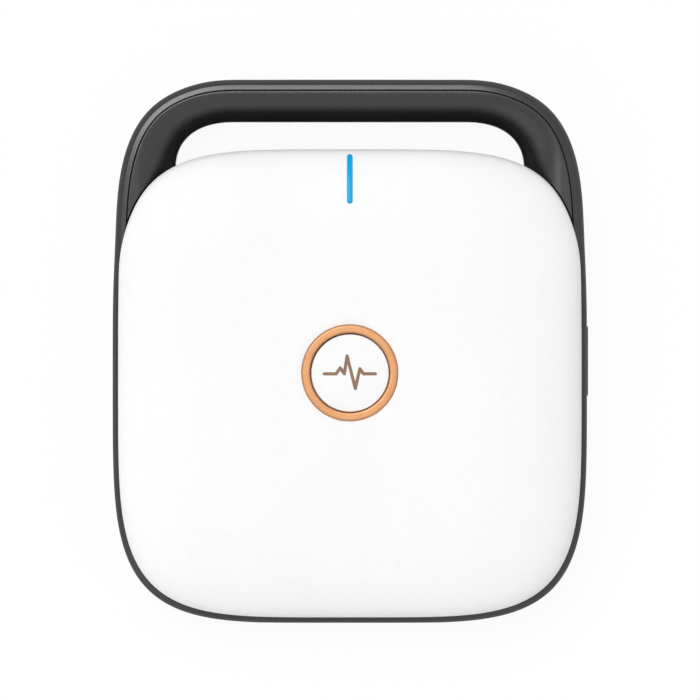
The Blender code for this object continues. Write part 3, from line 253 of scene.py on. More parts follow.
def lightBarFinish():
    # blue diffuser, lit from its diode below; the deeper blue towards both tips is painted shade, where the
    # bar's ends sit in the slot's recess
    material, shader, place = startFinish("blue_diffuser", {"Specular IOR Level": diffuser["specular"],
                                                            "Emission Strength": diffuser["glow"]})
    along = place.placed(shift=(0.0, -middleY - diffuser["middle"], 0.0)).axis("Y")
    cloud = place.noise(diffuser["cloud"])
    # painted shade: deeper blue towards both ends of the bar, where they sit in the slot's recess
    tip = (along.away() / diffuser["reach"]).step(diffuser["shadeFrom"], 1.0)
    colour = tip.mixed(cloud, diffuser["cloudShare"]).blend(diffuser["core"], diffuser["tip"])
    feed(shader, Base_Color=colour, Emission_Color=colour, Normal=cloud.bump(diffuser["depth"]),
         Roughness=cloud * diffuser["spread"] + diffuser["roughness"])
    return material


circuit = {"mask": (0.010, 0.115, 0.050), "track": (0.020, 0.190, 0.085), "pad": (0.62, 0.60, 0.55),
           "specular": 0.5, "tracks": 420.0, "trackGap": 0.06, "squash": 0.7, "vias": 330.0,
           "viaEdge": (0.10, 0.13), "viaMetal": 0.8, "weave": 3000.0, "roughness": 0.28, "spread": 0.1,
           "trackHeight": 0.5, "weaveHeight": 0.2, "depth": 0.00003}


def boardFinish():
    # solder mask over woven glass, with tracks that stand a little proud and tinned pads
    material, shader, place = startFinish("solder_mask_green", {"Specular IOR Level": circuit["specular"]})
    plan = place.placed(scale=(1.0, 1.0, 0.0))
    tracks = plan.node("ShaderNodeTexBrick", {"offset": 0.5, "squash": circuit["squash"]},
                       {"Vector": plan, "Scale": circuit["tracks"], "Mortar Size": circuit["trackGap"],
                        "Color1": (0, 0, 0, 1), "Color2": (0, 0, 0, 1), "Mortar": (1, 1, 1, 1)}, 1)
    vias = 1.0 - plan.cells(circuit["vias"]).step(*circuit["viaEdge"])
    weave = place.noise(circuit["weave"], 2.0, 0.5)
    base = tracks.blend(circuit["mask"], circuit["track"])
    relief = tracks * circuit["trackHeight"] + weave * circuit["weaveHeight"]
    feed(shader, Base_Color=vias.blend(base, circuit["pad"]), Metallic=vias * circuit["viaMetal"],
         Roughness=weave * circuit["spread"] + circuit["roughness"], Normal=relief.bump(circuit["depth"]))
    return material


sleeve = {"dark": (0.020, 0.022, 0.026), "light": (0.030, 0.032, 0.038), "band": (0.62, 0.25, 0.07),
          "steel": (0.56, 0.56, 0.55), "end": 0.0238, "bandFrom": 0.0105, "edge": 0.0001, "specular": 0.5,
          "cloud": 120.0, "tone": (0.3, 0.7), "metal": 0.95, "roughness": 0.24, "spread": 0.14,
          "depth": 0.00001}


def cellFinish():
    # shrink sleeve, dark in its middle and warm towards both ends; the bare ends are steel
    material, shader, place = startFinish("battery_sleeve", {"Specular IOR Level": sleeve["specular"]})
    away = place.axis("X").away()
    bare = away.step(sleeve["end"] - sleeve["edge"], sleeve["end"])
    band = away.step(sleeve["bandFrom"], sleeve["bandFrom"] + sleeve["edge"])
    cloud = place.noise(sleeve["cloud"])
    dark = cloud.step(*sleeve["tone"]).blend(sleeve["dark"], sleeve["light"])
    feed(shader, Base_Color=bare.blend(band.blend(dark, sleeve["band"]), sleeve["steel"]),
         Metallic=bare * sleeve["metal"], Normal=cloud.bump(sleeve["depth"]),
         Roughness=cloud * sleeve["spread"] + sleeve["roughness"])
    return material


finishes = {"copper": copperFinish(), "blue": lightBarFinish(), "board": boardFinish(), "cell": cellFinish()}
for make, kinds in ((grainPlastic, plastics), (mattFinish, rubbers), (metalFinish, metals)):
    finishes.update({key: make(*look) for key, look in kinds.items()})
print("finishes made:", len(finishes))


# outlines, drawn about the button in metres

outline = {"points": 360, "crowding": 0.11, "solverSteps": 12}


def superOval(plan, inset=0.0, share=1.0):
    # squared-off oval with its own reach and squareness above and below the button
    points = []
    for index in range(outline["points"]):
        turn = math.tau * index / outline["points"]
        angle = turn + outline["crowding"] * math.sin(4 * turn)    # points crowd at the corners
        across, along = math.cos(angle), math.sin(angle)
        reach, (side, cap) = ((plan["up"], plan["upPowers"]) if along >= 0
                              else (plan["down"], plan["downPowers"]))
        stretch = 1.0
        for _ in range(outline["solverSteps"]):    # Newton's steps to the outline in this direction
            u, v = abs(across * stretch) ** side, abs(along * stretch) ** cap
            stretch -= (u + v - 1) * stretch / (side * u + cap * v)
        across, along = across * stretch, along * stretch
        out = -inset
        for place, swell in ((along, "flank"), (abs(across) * (along > 0), "shoulder")):
            if swell in plan:
                height, centre, spread = plan[swell]
                out += height * math.exp(-((place - centre) / spread) ** 2)
        normal = Vector((math.copysign(side * abs(across) ** (side - 1), across) / plan["half"],
                         math.copysign(cap * abs(along) ** (cap - 1), along) / reach)).normalized()
        points.append((share * (plan["half"] * across + out * normal.x),
                       share * (reach * along + out * normal.y)))
    return points


def softCorners(corners, radius, steps=6):
    points = []
    for index, corner in enumerate(corners):
        here = Vector(corner)
        back = (Vector(corners[index - 1]) - here).normalized()
        ahead = (Vector(corners[(index + 1) % len(corners)]) - here).normalized()
        half = back.angle(ahead) / 2
        centre = here + (back + ahead).normalized() * radius / math.sin(half)
        arm = here + back * radius / math.tan(half) - centre
        points += [tuple(centre + Matrix.Rotation((math.pi - 2 * half) * step / steps, 2) @ arm)
                   for step in range(steps + 1)]
    return points


def softBox(width, height, radius, middle=(0.0, 0.0), steps=6):
    x, y = width / 2, height / 2
    return [(u + middle[0], v + middle[1])
            for u, v in softCorners(((-x, -y), (x, -y), (x, y), (-x, y)), radius, steps)]


def slotBox(size, grow=0.0, middle=(0.0, 0.0), ends=0.97, steps=6):
    # a long slot with nearly round ends, grown on every side
    width, height = size[0] + 2 * grow, size[1] + 2 * grow
    return softBox(width, height, min(width, height) / 2 * ends, middle, steps)


def flat(points, z):
    return [(x, y, z) for x, y in points]


def upright(points, y):                # an outline in x and z, standing at y
    return [(x, y, z) for x, z in points]


def sideways(points, x):               # an outline in y and z, standing at x
    return [(x, y, z) for y, z in points]


def evenTurns(steps, first=0):         # equal parts of a quarter turn
    return [math.pi / 2 * step / steps for step in range(first, steps + 1)]


def quarter(radius, turns):
    # a quarter round as (inwards, upwards): from all the way in at the bottom to the side
    return [(radius * (1 - math.sin(turn)), radius * (1 - math.cos(turn))) for turn in turns]


def ease(share):
    share = min(max(share, 0.0), 1.0)
    return share * share * (3 - 2 * share)


# mesh helpers

def loft(bm, rings, closed=False):
    # a circle set on the first ring, then extruded ring by ring; each point keeps its number
    number = bm.verts.layers.int.get("number") or bm.verts.layers.int.new("number")
    verts = bmesh.ops.create_circle(bm, segments=len(rings[0]), radius=1.0)["verts"]
    for index, vert in enumerate(verts):
        vert[number], vert.co = index, rings[0][index]
    first = edges = list(dict.fromkeys(edge for vert in verts for edge in vert.link_edges))
    for ring in rings[1:] + ([rings[0]] if closed else []):
        grown = bmesh.ops.extrude_edge_only(bm, edges=edges)["geom"]
        made = {item for item in grown if isinstance(item, bmesh.types.BMVert)}
        for vert in made:
            vert.co = ring[vert[number]]
        edges = [item for item in grown if isinstance(item, bmesh.types.BMEdge)
                 and set(item.verts) <= made and len(item.link_faces) == 1]
    if not closed:
        bmesh.ops.contextual_create(bm, geom=first)
        bmesh.ops.contextual_create(bm, geom=edges)


def turned(bm, profile, place, steps):
    # spins a (radius, height) profile about its own axis, then puts it in place
    before = set(bm.verts)
    verts = [bm.verts.new((radius, 0.0, height)) for radius, height in profile]
    edges = [bm.edges.new(pair) for pair in zip(verts, verts[1:])]
    if profile[0][0] > 0:              # a hollow ring's profile is closed
        edges.append(bm.edges.new((verts[-1], verts[0])))
    bmesh.ops.spin(bm, geom=verts + edges, cent=(0, 0, 0), axis=(0, 0, 1), angle=math.tau, steps=steps,
                   use_merge=True)
    bmesh.ops.remove_doubles(bm, verts=[vert for vert in bm.verts if vert not in before], dist=tiny)
    bmesh.ops.transform(bm, matrix=place, verts=[vert for vert in bm.verts if vert not in before])


def turnedAt(bm, profile, spots, steps):
    for x, y in spots:
        turned(bm, profile, at(x, y), steps)


def arc(centre, radius, start, stop, steps=5):
    # points of a rounded corner in a profile, in degrees
    return [(centre[0] + radius * math.cos(math.radians(start + (stop - start) * step / steps)),
             centre[1] + radius * math.sin(math.radians(start + (stop - start) * step / steps)))
            for step in range(steps + 1)]


def pin(radius, low, high):
    return [(0.0, low), (radius, low), (radius, high), (0.0, high)]


def at(x, y, z=0.0):
    return Matrix.Translation((x, y, z))


def alongX(x, y, z, towards):
    return at(x, y, z) @ Matrix.Rotation(towards * math.pi / 2, 4, "Y")


def alongY(x, y, z, towards=1):
    return at(x, y, z) @ Matrix.Rotation(-towards * math.pi / 2, 4, "X")


def makeForm(name, bm):
    # closes a bmesh into an object, moved from the button's middle to the recorder's
    bmesh.ops.remove_doubles(bm, verts=bm.verts, dist=tiny)
    bmesh.ops.translate(bm, verts=bm.verts, vec=(0.0, middleY, 0.0))
    bmesh.ops.recalc_face_normals(bm, faces=bm.faces)
    mesh = bpy.data.meshes.new(name)
    bm.to_mesh(mesh)
    bm.free()
    form = bpy.data.objects.new(name, mesh)
    bpy.context.scene.collection.objects.link(form)
    return form


def lofted(name, rings, closed=False):
    bm = bmesh.new()
    loft(bm, rings, closed)
    return makeForm(name, bm)


def spun(name, profile, places, steps):
    bm = bmesh.new()
    for place in places:
        turned(bm, profile, place, steps)
    return makeForm(name, bm)


def boxed(name, boxes, soft=0.0):
    # boxes between two corners each, with their edges rounded if soft is given
    bm = bmesh.new()
    for low, high in boxes:
        middle = [(a + b) / 2 for a, b in zip(low, high)]
        size = [b - a for a, b in zip(low, high)]
        place = at(*middle) @ Matrix.Diagonal((*size, 1.0))
        verts = bmesh.ops.create_cube(bm, size=1.0, matrix=place)["verts"]
        if soft:
            edges = list(dict.fromkeys(edge for vert in verts for edge in vert.link_edges))
            bmesh.ops.bevel(bm, geom=edges, offset=soft, offset_type="OFFSET", segments=3, profile=0.5,
                            affect="EDGES", material=-1)
    return makeForm(name, bm)


def carve(form, tool, operation="DIFFERENCE", keep=False):
    modifier = form.modifiers.new("carve", "BOOLEAN")
    modifier.operation, modifier.solver, modifier.object = operation, "EXACT", tool
    graph = bpy.context.evaluated_depsgraph_get()
    mesh = bpy.data.meshes.new_from_object(form.evaluated_get(graph))
    form.modifiers.clear()
    form.data = mesh
    if not keep:
        bpy.data.objects.remove(tool)


def settle(form, finish, node=None, body="recorder", sharp=32.0):
    # shades the piece, gives it its finish and lets it ride on its body
    form.data.materials.clear()
    form.data.materials.append(finishes[finish])
    form.data.shade_smooth()
    form.data.set_sharp_from_angle(angle=math.radians(sharp))
    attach(form, body)
    if node:
        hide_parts(node)


# white front cover: the hole for the button is round, and the crown's rings turn into it

cover = {"half": 0.05085, "up": 0.04905, "down": 0.05365, "upPowers": (4.55, 4.17),
         "downPowers": (4.58, 4.58), "flank": (0.00034, 0.53, 0.135), "low": 0.0188, "band": 0.0196,
         "top": 0.0275, "flatness": 5.5, "roundness": 2.4, "wall": 0.0020, "lip": 0.0039,
         "lipRound": 0.00025, "lipFlat": 0.00008, "lipTurns": (0.0, 0.4, 0.8, 1.2, math.pi / 2),
         "holeShare": 0.45, "crownSteps": 26, "crowding": 2.3, "outerParts": (0.75, 0.5, 0.28, 0.12),
         "holeEdge": ((0.00005, 0.0), (0.00001, 0.00002), (0.0, 0.00006)), "ringRadius": 0.01062,
         "skirtRadius": 0.0099, "seat": 0.0263, "innerParts": (0.25, 0.6),
         "innerShares": (0.5, 0.7, 0.82, 0.9, 0.95, 0.98, 0.995, 1.0)}
barSlot = {"size": (0.00128, 0.01090), "middle": 0.0425, "ends": 0.99, "endSteps": 8}


def crownAt(share, depth):
    # the crown's height at a share of the way out from the button, or that of its inside
    rise = cover["top"] - cover["band"] - depth
    return cover["band"] + rise * (1 - share ** cover["flatness"]) ** (1 / cover["roundness"])


def crownHeight(x, y, depth=0.0):
    reach, (power, _) = (cover["up"], cover["upPowers"]) if y >= 0 else (cover["down"], cover["downPowers"])
    share = min((abs(x) / cover["half"]) ** power + (abs(y) / reach) ** power, 1.0) ** (1 / power)
    return crownAt(share, depth)


def crownRing(share, depth=0.0):
    return flat(superOval(cover, depth, share), crownAt(share, depth))


def towardsHole(radius, share, part, depth=0.0):
    # a ring that is only part squared oval, and for the rest round as the hole
    ring = []
    for x, y in superOval(cover, depth, share):
        scale = part + radius * (1 - part) / math.hypot(x, y)
        ring.append((x * scale, y * scale, crownHeight(x * scale, y * scale, depth)))
    return ring


def frontCover():
    top, low, wall, seat, edge, hole, skirt, share, steps = (cover[key] for key in (
        "top", "low", "wall", "seat", "lipRound", "ringRadius", "skirtRadius", "holeShare", "crownSteps"))
    rings = [flat(superOval(cover, inset), low) for inset in (cover["lip"], edge + cover["lipFlat"])]
    rings += [flat(superOval(cover, inset), low + up) for inset, up in quarter(edge, cover["lipTurns"])]
    rings += [crownRing(1 - (1 - share) * (step / steps) ** cover["crowding"]) for step in range(steps + 1)]
    rings += [towardsHole(hole, share, part) for part in cover["outerParts"]]
    sides = [(hole + out, top - down) for out, down in cover["holeEdge"]]
    sides += [(hole, seat), (skirt, seat), (skirt, top - wall)]
    rings += [[(x / math.hypot(x, y) * radius, y / math.hypot(x, y) * radius, z)
               for x, y in superOval(cover, 0.0, share)] for radius, z in sides]
    rings += [towardsHole(skirt, cover["innerShares"][0], part, wall) for part in cover["innerParts"]]
    rings += [crownRing(inner, wall) for inner in cover["innerShares"]]
    rings += [flat(superOval(cover, cover["lip"]), cover["band"])]
    shell = lofted("front_cover_shell", rings, closed=True)
    slot = slotBox(barSlot["size"], 0.0, (0.0, barSlot["middle"]), barSlot["ends"], barSlot["endSteps"])
    carve(shell, lofted("bar_slot", [flat(slot, z) for z in (cover["band"], top + over)]))
    settle(shell, "white", "front_cover")


frontCover()
print("front cover done")


# light bar

lightBar = {"width": 0.00122, "length": 0.01084, "middle": 0.0425, "low": 0.0215, "proud": 0.00004,
            "dome": 0.00006, "edge": 0.00005, "rows": 72, "columns": 8}


def makeLightBar():
    # a grid drawn in to a round-ended strip that lies on the crown, its rim extruded down
    bm = bmesh.new()
    bmesh.ops.create_grid(bm, x_segments=lightBar["columns"], y_segments=lightBar["rows"], size=1.0)
    half, reach = lightBar["width"] / 2, lightBar["length"] / 2
    for vert in bm.verts:
        away = math.sin(vert.co.y * math.pi / 2) * reach
        past = max(abs(away) - (reach - half), 0.0) / half
        x = math.sin(vert.co.x * math.pi / 2) * half * math.sqrt(max(1 - past * past, 0.0))
        y = lightBar["middle"] + away
        rise = lightBar["proud"] + lightBar["dome"] * (1 - (x / half) ** 2) * (1 - past * past)
        vert.co = (x, y, crownHeight(x, y) + rise)
    bmesh.ops.remove_doubles(bm, verts=bm.verts, dist=tiny)
    rim = [edge for edge in bm.edges if edge.is_boundary]
    for drop in (lightBar["edge"], None):    # a short step that keeps the edge crisp, then all the way
        grown = bmesh.ops.extrude_edge_only(bm, edges=rim)["geom"]
        verts = {item for item in grown if isinstance(item, bmesh.types.BMVert)}
        for vert in verts:
            vert.co.z = lightBar["low"] if drop is None else vert.co.z - drop
        rim = [item for item in grown if isinstance(item, bmesh.types.BMEdge) and set(item.verts) <= verts]
    bmesh.ops.contextual_create(bm, geom=rim)
    settle(makeForm("light_bar", bm), "blue", "light_pipe")


makeLightBar()


# handle opening, one cutter for the housing and the frame

opening = {"half": 0.03835, "acrossCorner": 0.0132, "cornerPower": 2.36, "top": 0.05512, "side": 0.00085,
           "wallHalf": 0.0495, "wallTop": 0.0478, "wallPower": 4.4, "frontZ": 0.01825,
           "frontSpread": 0.0062, "frontWide": 1.29, "frontLean": 54.0, "frontPower": 0.7, "frontSteps": 28,
           "faceSpread": 0.00003, "straightGap": 0.0001, "backRound": 0.0026, "backSteps": 8,
           "cornerSteps": 24, "wallSteps": 40}
back = {"z": 0.0010, "lift": 0.0050, "liftFrom": 0.0436, "liftRun": 0.0120}


def wallLine(x):
    share = min(abs(x) / opening["wallHalf"], 1.0) ** opening["wallPower"]
    return opening["wallTop"] * (1 - share) ** (1 / opening["wallPower"])


def backHeight(y):
    return back["z"] + back["lift"] * ease((y - back["liftFrom"]) / back["liftRun"])


def openingRing(outwards, upwards, downwards):
    points = []
    centreX = opening["half"] - opening["acrossCorner"]
    centreY = wallLine(opening["half"]) + opening["side"]
    run, rise = opening["acrossCorner"] + outwards, opening["top"] - centreY + upwards
    steps, power = opening["cornerSteps"], 2 / opening["cornerPower"]
    for side in (1, -1):
        for step in range(steps + 1):
            angle = math.pi / 2 * (step if side == 1 else steps - step) / steps
            points.append((side * (centreX + run * abs(math.cos(angle)) ** power),
                           centreY + rise * math.sin(angle) ** power))
    for step in range(opening["wallSteps"] + 1):
        x = (opening["half"] + outwards) * math.sin(math.pi * (step / opening["wallSteps"] - 0.5))
        points.append((x, wallLine(x) - downwards))
    return points


def openingCutter():
    # rounded at the back, straight through, then leaning out more and more gently up to the face
    edge, steps, face = opening["backRound"], opening["frontSteps"], opening["frontZ"]
    rings = [flat(openingRing(*[edge + over] * 3), back["z"] - over)]
    rings += [[(x, y, backHeight(y) + up) for x, y in openingRing(inwards, inwards, inwards)]
              for inwards, up in quarter(edge, evenTurns(opening["backSteps"], 1))]
    falls = [0.0]
    for step in range(steps):
        lean = math.radians(opening["frontLean"]) * ((step + 0.5) / steps) ** opening["frontPower"]
        falls.append(falls[-1] + math.tan(lean) * opening["frontSpread"] / steps)
    rings.append(flat(openingRing(0.0, 0.0, 0.0), face - falls[-1] - opening["straightGap"]))
    for step in range(steps, -1, -1):
        spread = opening["faceSpread"] + opening["frontSpread"] * (1 - step / steps)
        rings.append(flat(openingRing(spread * opening["frontWide"], spread, 0.0), face - falls[step]))
    rings.append([(x, y, z + over) for x, y, z in rings[-1]])
    return lofted("handle_opening_cutter", rings)


# rear housing with the handle

housing = {"half": 0.0521, "up": 0.0644, "down": 0.0550, "upPowers": (5.4, 4.75),
           "downPowers": (4.55, 4.55), "shoulder": (0.0004, 0.58, 0.14), "flank": (-0.00034, 0.46, 0.17),
           "backRound": 0.0050, "backShare": 0.66, "backSteps": 22, "edgeSteps": 10, "rimWidth": 0.00225,
           "rimZ": 0.0185, "bevel": 0.00104, "lean": 13.0, "roll": (60.0, 28.0), "rollSteps": 14,
           "soft": 0.00035, "softSteps": 4, "bevelShares": (0.03, 0.10, 0.5, 0.95), "lip": 0.00009,
           "lipShape": ((0.10, 0.02), (0.30, 0.07), (0.80, 0.28), (0.94, 0.45), (1.0, 0.80)),
           "seat": 0.01095, "floor": 0.0030, "skin": 0.0021, "blocksFrom": -0.0524, "beyond": -0.056}
cavity = {"half": 0.0485, "up": 0.0456, "down": 0.0514, "upPowers": (4.4, 4.4), "downPowers": (4.55, 4.55),
          "corner": ((0.0, 0.001), (0.0003, 0.0003), (0.001, 0.0))}
bay = {"half": 0.0282, "low": -0.0331, "high": -0.0038, "floor": 0.002, "top": 0.0190, "wall": 0.0012,
       "soft": 0.0004}
door = {"half": 0.0300, "tongue": 0.0014, "lipZ": 0.0020, "top": 0.0030, "end": -0.0015,
        "tunnelHalf": 0.0329, "tunnelTop": 0.00425, "gap": 0.0003}
socket = {"z": 0.0108, "recess": (0.04099, 0.0116), "corner": 0.0016, "floorY": -0.0467,
          "mouth": ((0.0, -0.05425), (0.00006, -0.0545), (0.0002, -0.0547), (0.0005, -0.05488),
                    (0.0012, -0.0551), (0.0040, -0.0560)),
          "blockHalf": 0.021695, "blockBack": -0.0452, "blockTop": 0.0178, "holeEnds": (-0.0480, -0.0440),
          "flangeY": -0.0449, "flange": (0.03909, 0.0125), "flangeThick": 0.0008, "flangeCorner": 0.0010,
          "deeTop": 0.02469, "deeLow": 0.02289, "deeHeight": 0.0079, "deeCorner": 0.0024,
          "deeWall": 0.0006, "deeLength": 0.0059, "jackX": 0.016645, "jackShank": 0.0016,
          "jackDepth": 0.003}
port = {"y": 0.0026, "z": 0.00932, "size": (0.0156, 0.0076), "corner": 0.0010, "gap": 0.0003,
        "recess": ((0.0, 0.0505), (0.0, 0.05185), (0.00005, 0.0520), (0.00025, 0.05212), (0.0009, 0.0530)),
        "mouth": (0.00954, 0.00386), "mouthEnds": (0.0475, 0.0510)}
bosses = {"spots": [(-0.0415, -0.020), (0.0415, -0.020), (-0.0415, 0.020), (0.0415, 0.020)],
          "radius": 0.0036, "top": 0.0119, "bore": 0.0027, "edge": 0.0003, "seat": 0.0055, "hole": 0.0016,
          "holeTop": 0.013}
feet = {"spots": [(-0.0380, -0.0380), (0.0380, -0.0380), (-0.0355, 0.0320), (0.0355, 0.0320)],
        "radius": 0.0045, "sunk": 0.0006, "gap": 0.0003, "hollow": 0.00012, "hollowShares": (0.50, 0.54),
        "round": 0.00035}
posts = {"board": [(x, y) for x in (-0.0328, 0.0328) for y in (-0.0395, 0.0370)], "radius": 0.0026,
         "top": 0.0190, "usb": [(0.0450, -0.0034), (0.0450, 0.0086)], "usbRadius": 0.0020,
         "usbTop": 0.00589, "pilot": 0.0011, "boardPilot": (0.0130, 0.0200), "usbPilotTop": 0.0070}


def housingRings():
    # from the middle of the back, round its edge, up the side and over the rolled rim
    edge, rim, bevel, lip, soft = (housing[key] for key in ("backRound", "rimWidth", "bevel", "lip", "soft"))
    first, count = housing["backShare"], housing["backSteps"]
    rings = [[(x, y, backHeight(y)) for x, y in superOval(housing, edge, first + (1 - first) * step / count)]
             for step in range(count)]
    rings += [[(x, y, backHeight(y) + up) for x, y in superOval(housing, inwards)]
              for inwards, up in quarter(edge, evenTurns(housing["edgeSteps"]))]
    (steep, gentle), steps = housing["roll"], housing["rollSteps"]
    turn = math.radians(90.0 - steep)
    width = rim - bevel - soft * (1 - math.cos(turn))
    rises = [math.tan(math.radians(steep + (gentle - steep) * (step + 0.5) / steps)) * width / steps
             for step in range(steps)]
    bevelLow = housing["rimZ"] - bevel * math.tan(math.radians(housing["lean"]))
    z = bevelLow - sum(rises)
    for step in range(housing["softSteps"] + 1):    # a small round, then the roll up to the bevel
        part = turn * step / housing["softSteps"]
        rings.append(flat(superOval(housing, soft * (1 - math.cos(part))),
                          z - soft * (math.sin(turn) - math.sin(part))))
    for step, rise in enumerate(rises):
        z += rise
        rings.append(flat(superOval(housing, rim - bevel - width * (1 - (step + 1) / steps)), z))
    climb = (housing["rimZ"] - bevelLow) * (bevel - lip) / bevel
    rings += [flat(superOval(housing, rim - bevel + (bevel - lip) * share), bevelLow + climb * share)
              for share in housing["bevelShares"]]
    rings += [flat(superOval(housing, rim - lip + lip * inwards), bevelLow + climb - lip * down)
              for inwards, down in housing["lipShape"]]
    return rings


def housingInsides(rear):
    # the bay, the door's tunnel and the socket's block, kept within the outer wall, then the posts
    low, start, half = housing["floor"] - over, housing["blocksFrom"], bay["half"] + bay["wall"]
    solids = [((-half, bay["low"] - bay["wall"], low), (half, bay["high"] + bay["wall"], bay["top"])),
              ((-door["tunnelHalf"], start, low), (door["tunnelHalf"], 0.0, door["tunnelTop"])),
              ((-socket["blockHalf"], start, door["tunnelTop"] - door["gap"]),
               (socket["blockHalf"], socket["blockBack"], socket["blockTop"]))]
    within = lofted("within_the_wall", [flat(superOval(housing, housing["skin"]), z)
                                        for z in (0.0, housing["rimZ"] + 2 * over)])
    for corners in solids:
        inside = boxed("inside_block", [corners])
        carve(inside, within, "INTERSECT", keep=True)
        carve(rear, inside, "UNION")
    bpy.data.objects.remove(within)
    bm = bmesh.new()
    turnedAt(bm, pin(bosses["radius"], low, bosses["top"]), bosses["spots"], 32)
    turnedAt(bm, pin(posts["radius"], low, posts["top"]), posts["board"], 32)
    turnedAt(bm, pin(posts["usbRadius"], low, posts["usbTop"]), posts["usb"], 32)
    carve(rear, makeForm("inside_posts", bm), "UNION")


def doorSection(grow=0.0):
    plate, tongue = door["half"] + grow, door["half"] + door["tongue"] + grow
    low, lip, top = back["z"] - over, door["lipZ"] - grow, door["top"] + grow
    return [(-plate, low), (plate, low), (plate, lip), (tongue, lip), (tongue, top), (-tongue, top),
            (-tongue, lip), (-plate, lip)]


def deeRing(grow, y):
    # the socket's D-shaped outline, wider at its top
    top, low, half = (socket[key] / 2 + grow for key in ("deeTop", "deeLow", "deeHeight"))
    points = softCorners(((-low, -half), (low, -half), (top, half), (-top, half)), socket["deeCorner"] + grow)
    return [(x, y, z + socket["z"]) for x, z in points]


def jackPlaces(y, towards=1):
    return [alongY(side * socket["jackX"], y, socket["z"], towards) for side in (-1, 1)]


def portBox(grow, corner, x):
    length, width = port["size"]
    return sideways(softBox(length + 2 * grow, width + 2 * grow, corner, (port["y"], port["z"])), x)


def portSlot(size, grow, x, ends=0.97, up=0.0, steps=6):
    return sideways(slotBox(size, grow, (port["y"], port["z"] + up), ends, steps), x)


def housingCutters():
    # the outer recesses widen by a small round where they meet the housing's face
    gap, low, (length, height) = door["gap"], back["z"], socket["recess"]
    yield lofted("door_slot", [upright(doorSection(gap), y) for y in (housing["beyond"], door["end"] + gap)])
    yield boxed("bay_room", [((-bay["half"], bay["low"], bay["floor"]),
                              (bay["half"], bay["high"], bay["top"] - bay["wall"]))], bay["soft"])
    yield lofted("socket_recess", [upright(softBox(length + 2 * grow, height + 2 * grow,
                                                   socket["corner"] + grow, (0.0, socket["z"])), y)
                                   for grow, y in ((0.0, socket["floorY"]), *socket["mouth"])])
    bm = bmesh.new()
    loft(bm, [deeRing(gap, y) for y in socket["holeEnds"]])
    for place in jackPlaces(socket["floorY"]):
        turned(bm, pin(socket["jackShank"], -over, socket["jackDepth"]), place, 24)
    yield makeForm("socket_holes", bm)
    yield lofted("port_recess", [portBox(port["gap"] + grow, port["corner"] + grow, x)
                                 for grow, x in port["recess"]])
    yield lofted("port_mouth", [portSlot(port["mouth"], 0.0, x) for x in port["mouthEnds"]])
    bm = bmesh.new()
    bore, edge, seat, hole, top = (bosses[key] for key in ("bore", "edge", "seat", "hole", "holeTop"))
    turnedAt(bm, [(0.0, low - over), (bore + edge + over, low - over), (bore + edge, low), (bore, low + edge),
                  (bore, seat), (hole, seat), (hole, top), (0.0, top)], bosses["spots"], 40)
    turnedAt(bm, pin(feet["radius"] + feet["gap"], 0.0, low + feet["sunk"] + feet["gap"]), feet["spots"], 48)
    turnedAt(bm, pin(posts["pilot"], *posts["boardPilot"]), posts["board"], 20)
    turnedAt(bm, pin(posts["pilot"], housing["floor"], posts["usbPilotTop"]), posts["usb"], 20)
    yield makeForm("screw_holes", bm)


def rearHousing():
    rings = housingRings()
    rings += [flat(superOval(housing, housing["rimWidth"]), housing["seat"])]
    rings += [flat(superOval(cavity), housing["seat"])]
    rings += [flat(superOval(cavity, inset), housing["floor"] + up) for inset, up in cavity["corner"]]
    rear = lofted("rear_housing_shell", rings)
    housingInsides(rear)
    for cutter in housingCutters():
        carve(rear, cutter)
    carve(rear, openingCutter())
    settle(rear, "charcoal", "rear_housing", sharp=30.0)


rearHousing()
print("rear housing done")


# front frame, the face of the handle inside the rim

frontFrame = {"inset": 0.00239, "top": 0.01825, "low": 0.01125, "round": 0.00028, "sideGap": 0.0002,
              "edge": ((0.0, 0.72), (0.06, 0.45), (0.20, 0.27), (0.72, 0.06), (0.90, 0.015)),
              "faceShares": (0.0, 0.03, 0.15, 0.4, 0.7, 1.0), "draft": 0.00002,
              "notch": (0.021995, -0.04765), "sealGroove": (0.00045, 0.00195, 0.0005),
              "shadowGroove": (0.00042, 0.0013, 0.00039)}
window = {"half": 0.04715, "up": 0.0454, "down": 0.05005, "upPowers": (4.4, 4.4), "downPowers": (4.55, 4.55)}


def makeFrontFrame():
    inset, edge, top, low = (frontFrame[key] for key in ("inset", "round", "top", "low"))
    rings = [flat(superOval(housing, inset), z) for z in (low, top - edge - frontFrame["sideGap"])]
    rings += [flat(superOval(housing, inset + edge * inwards), top - edge * down)
              for inwards, down in frontFrame["edge"]]
    outer, inner = superOval(housing, inset + edge), superOval(window)
    rings += [flat([tuple(Vector(near).lerp(Vector(far), share)) for near, far in zip(outer, inner)], top)
              for share in frontFrame["faceShares"]]
    rings += [flat(superOval(window, frontFrame["draft"]), low)]
    face = lofted("front_frame", rings, closed=True)
    half, reach = frontFrame["notch"]
    carve(face, boxed("socket_notch", [((-half, housing["beyond"], low - over), (half, reach, top + over))]))
    near, far, depth = frontFrame["sealGroove"]
    groove = [(near, top - depth), (near, top + over), (far, top + over), (far, top - depth)]
    carve(face, lofted("seal_groove", [flat(superOval(window, -out), z) for out, z in groove], closed=True))
    width, deep, shallow = frontFrame["shadowGroove"]
    groove = [(-width, top - deep), (-width, top + over), (width, top + over), (width, top - shallow)]
    carve(face, lofted("shadow_groove", [flat(superOval(cover, -out), z) for out, z in groove], closed=True))
    carve(face, openingCutter())
    settle(face, "charcoal", "mid_frame", sharp=30.0)


makeFrontFrame()
print("front frame done")


# button: ring, cap and its printed mark

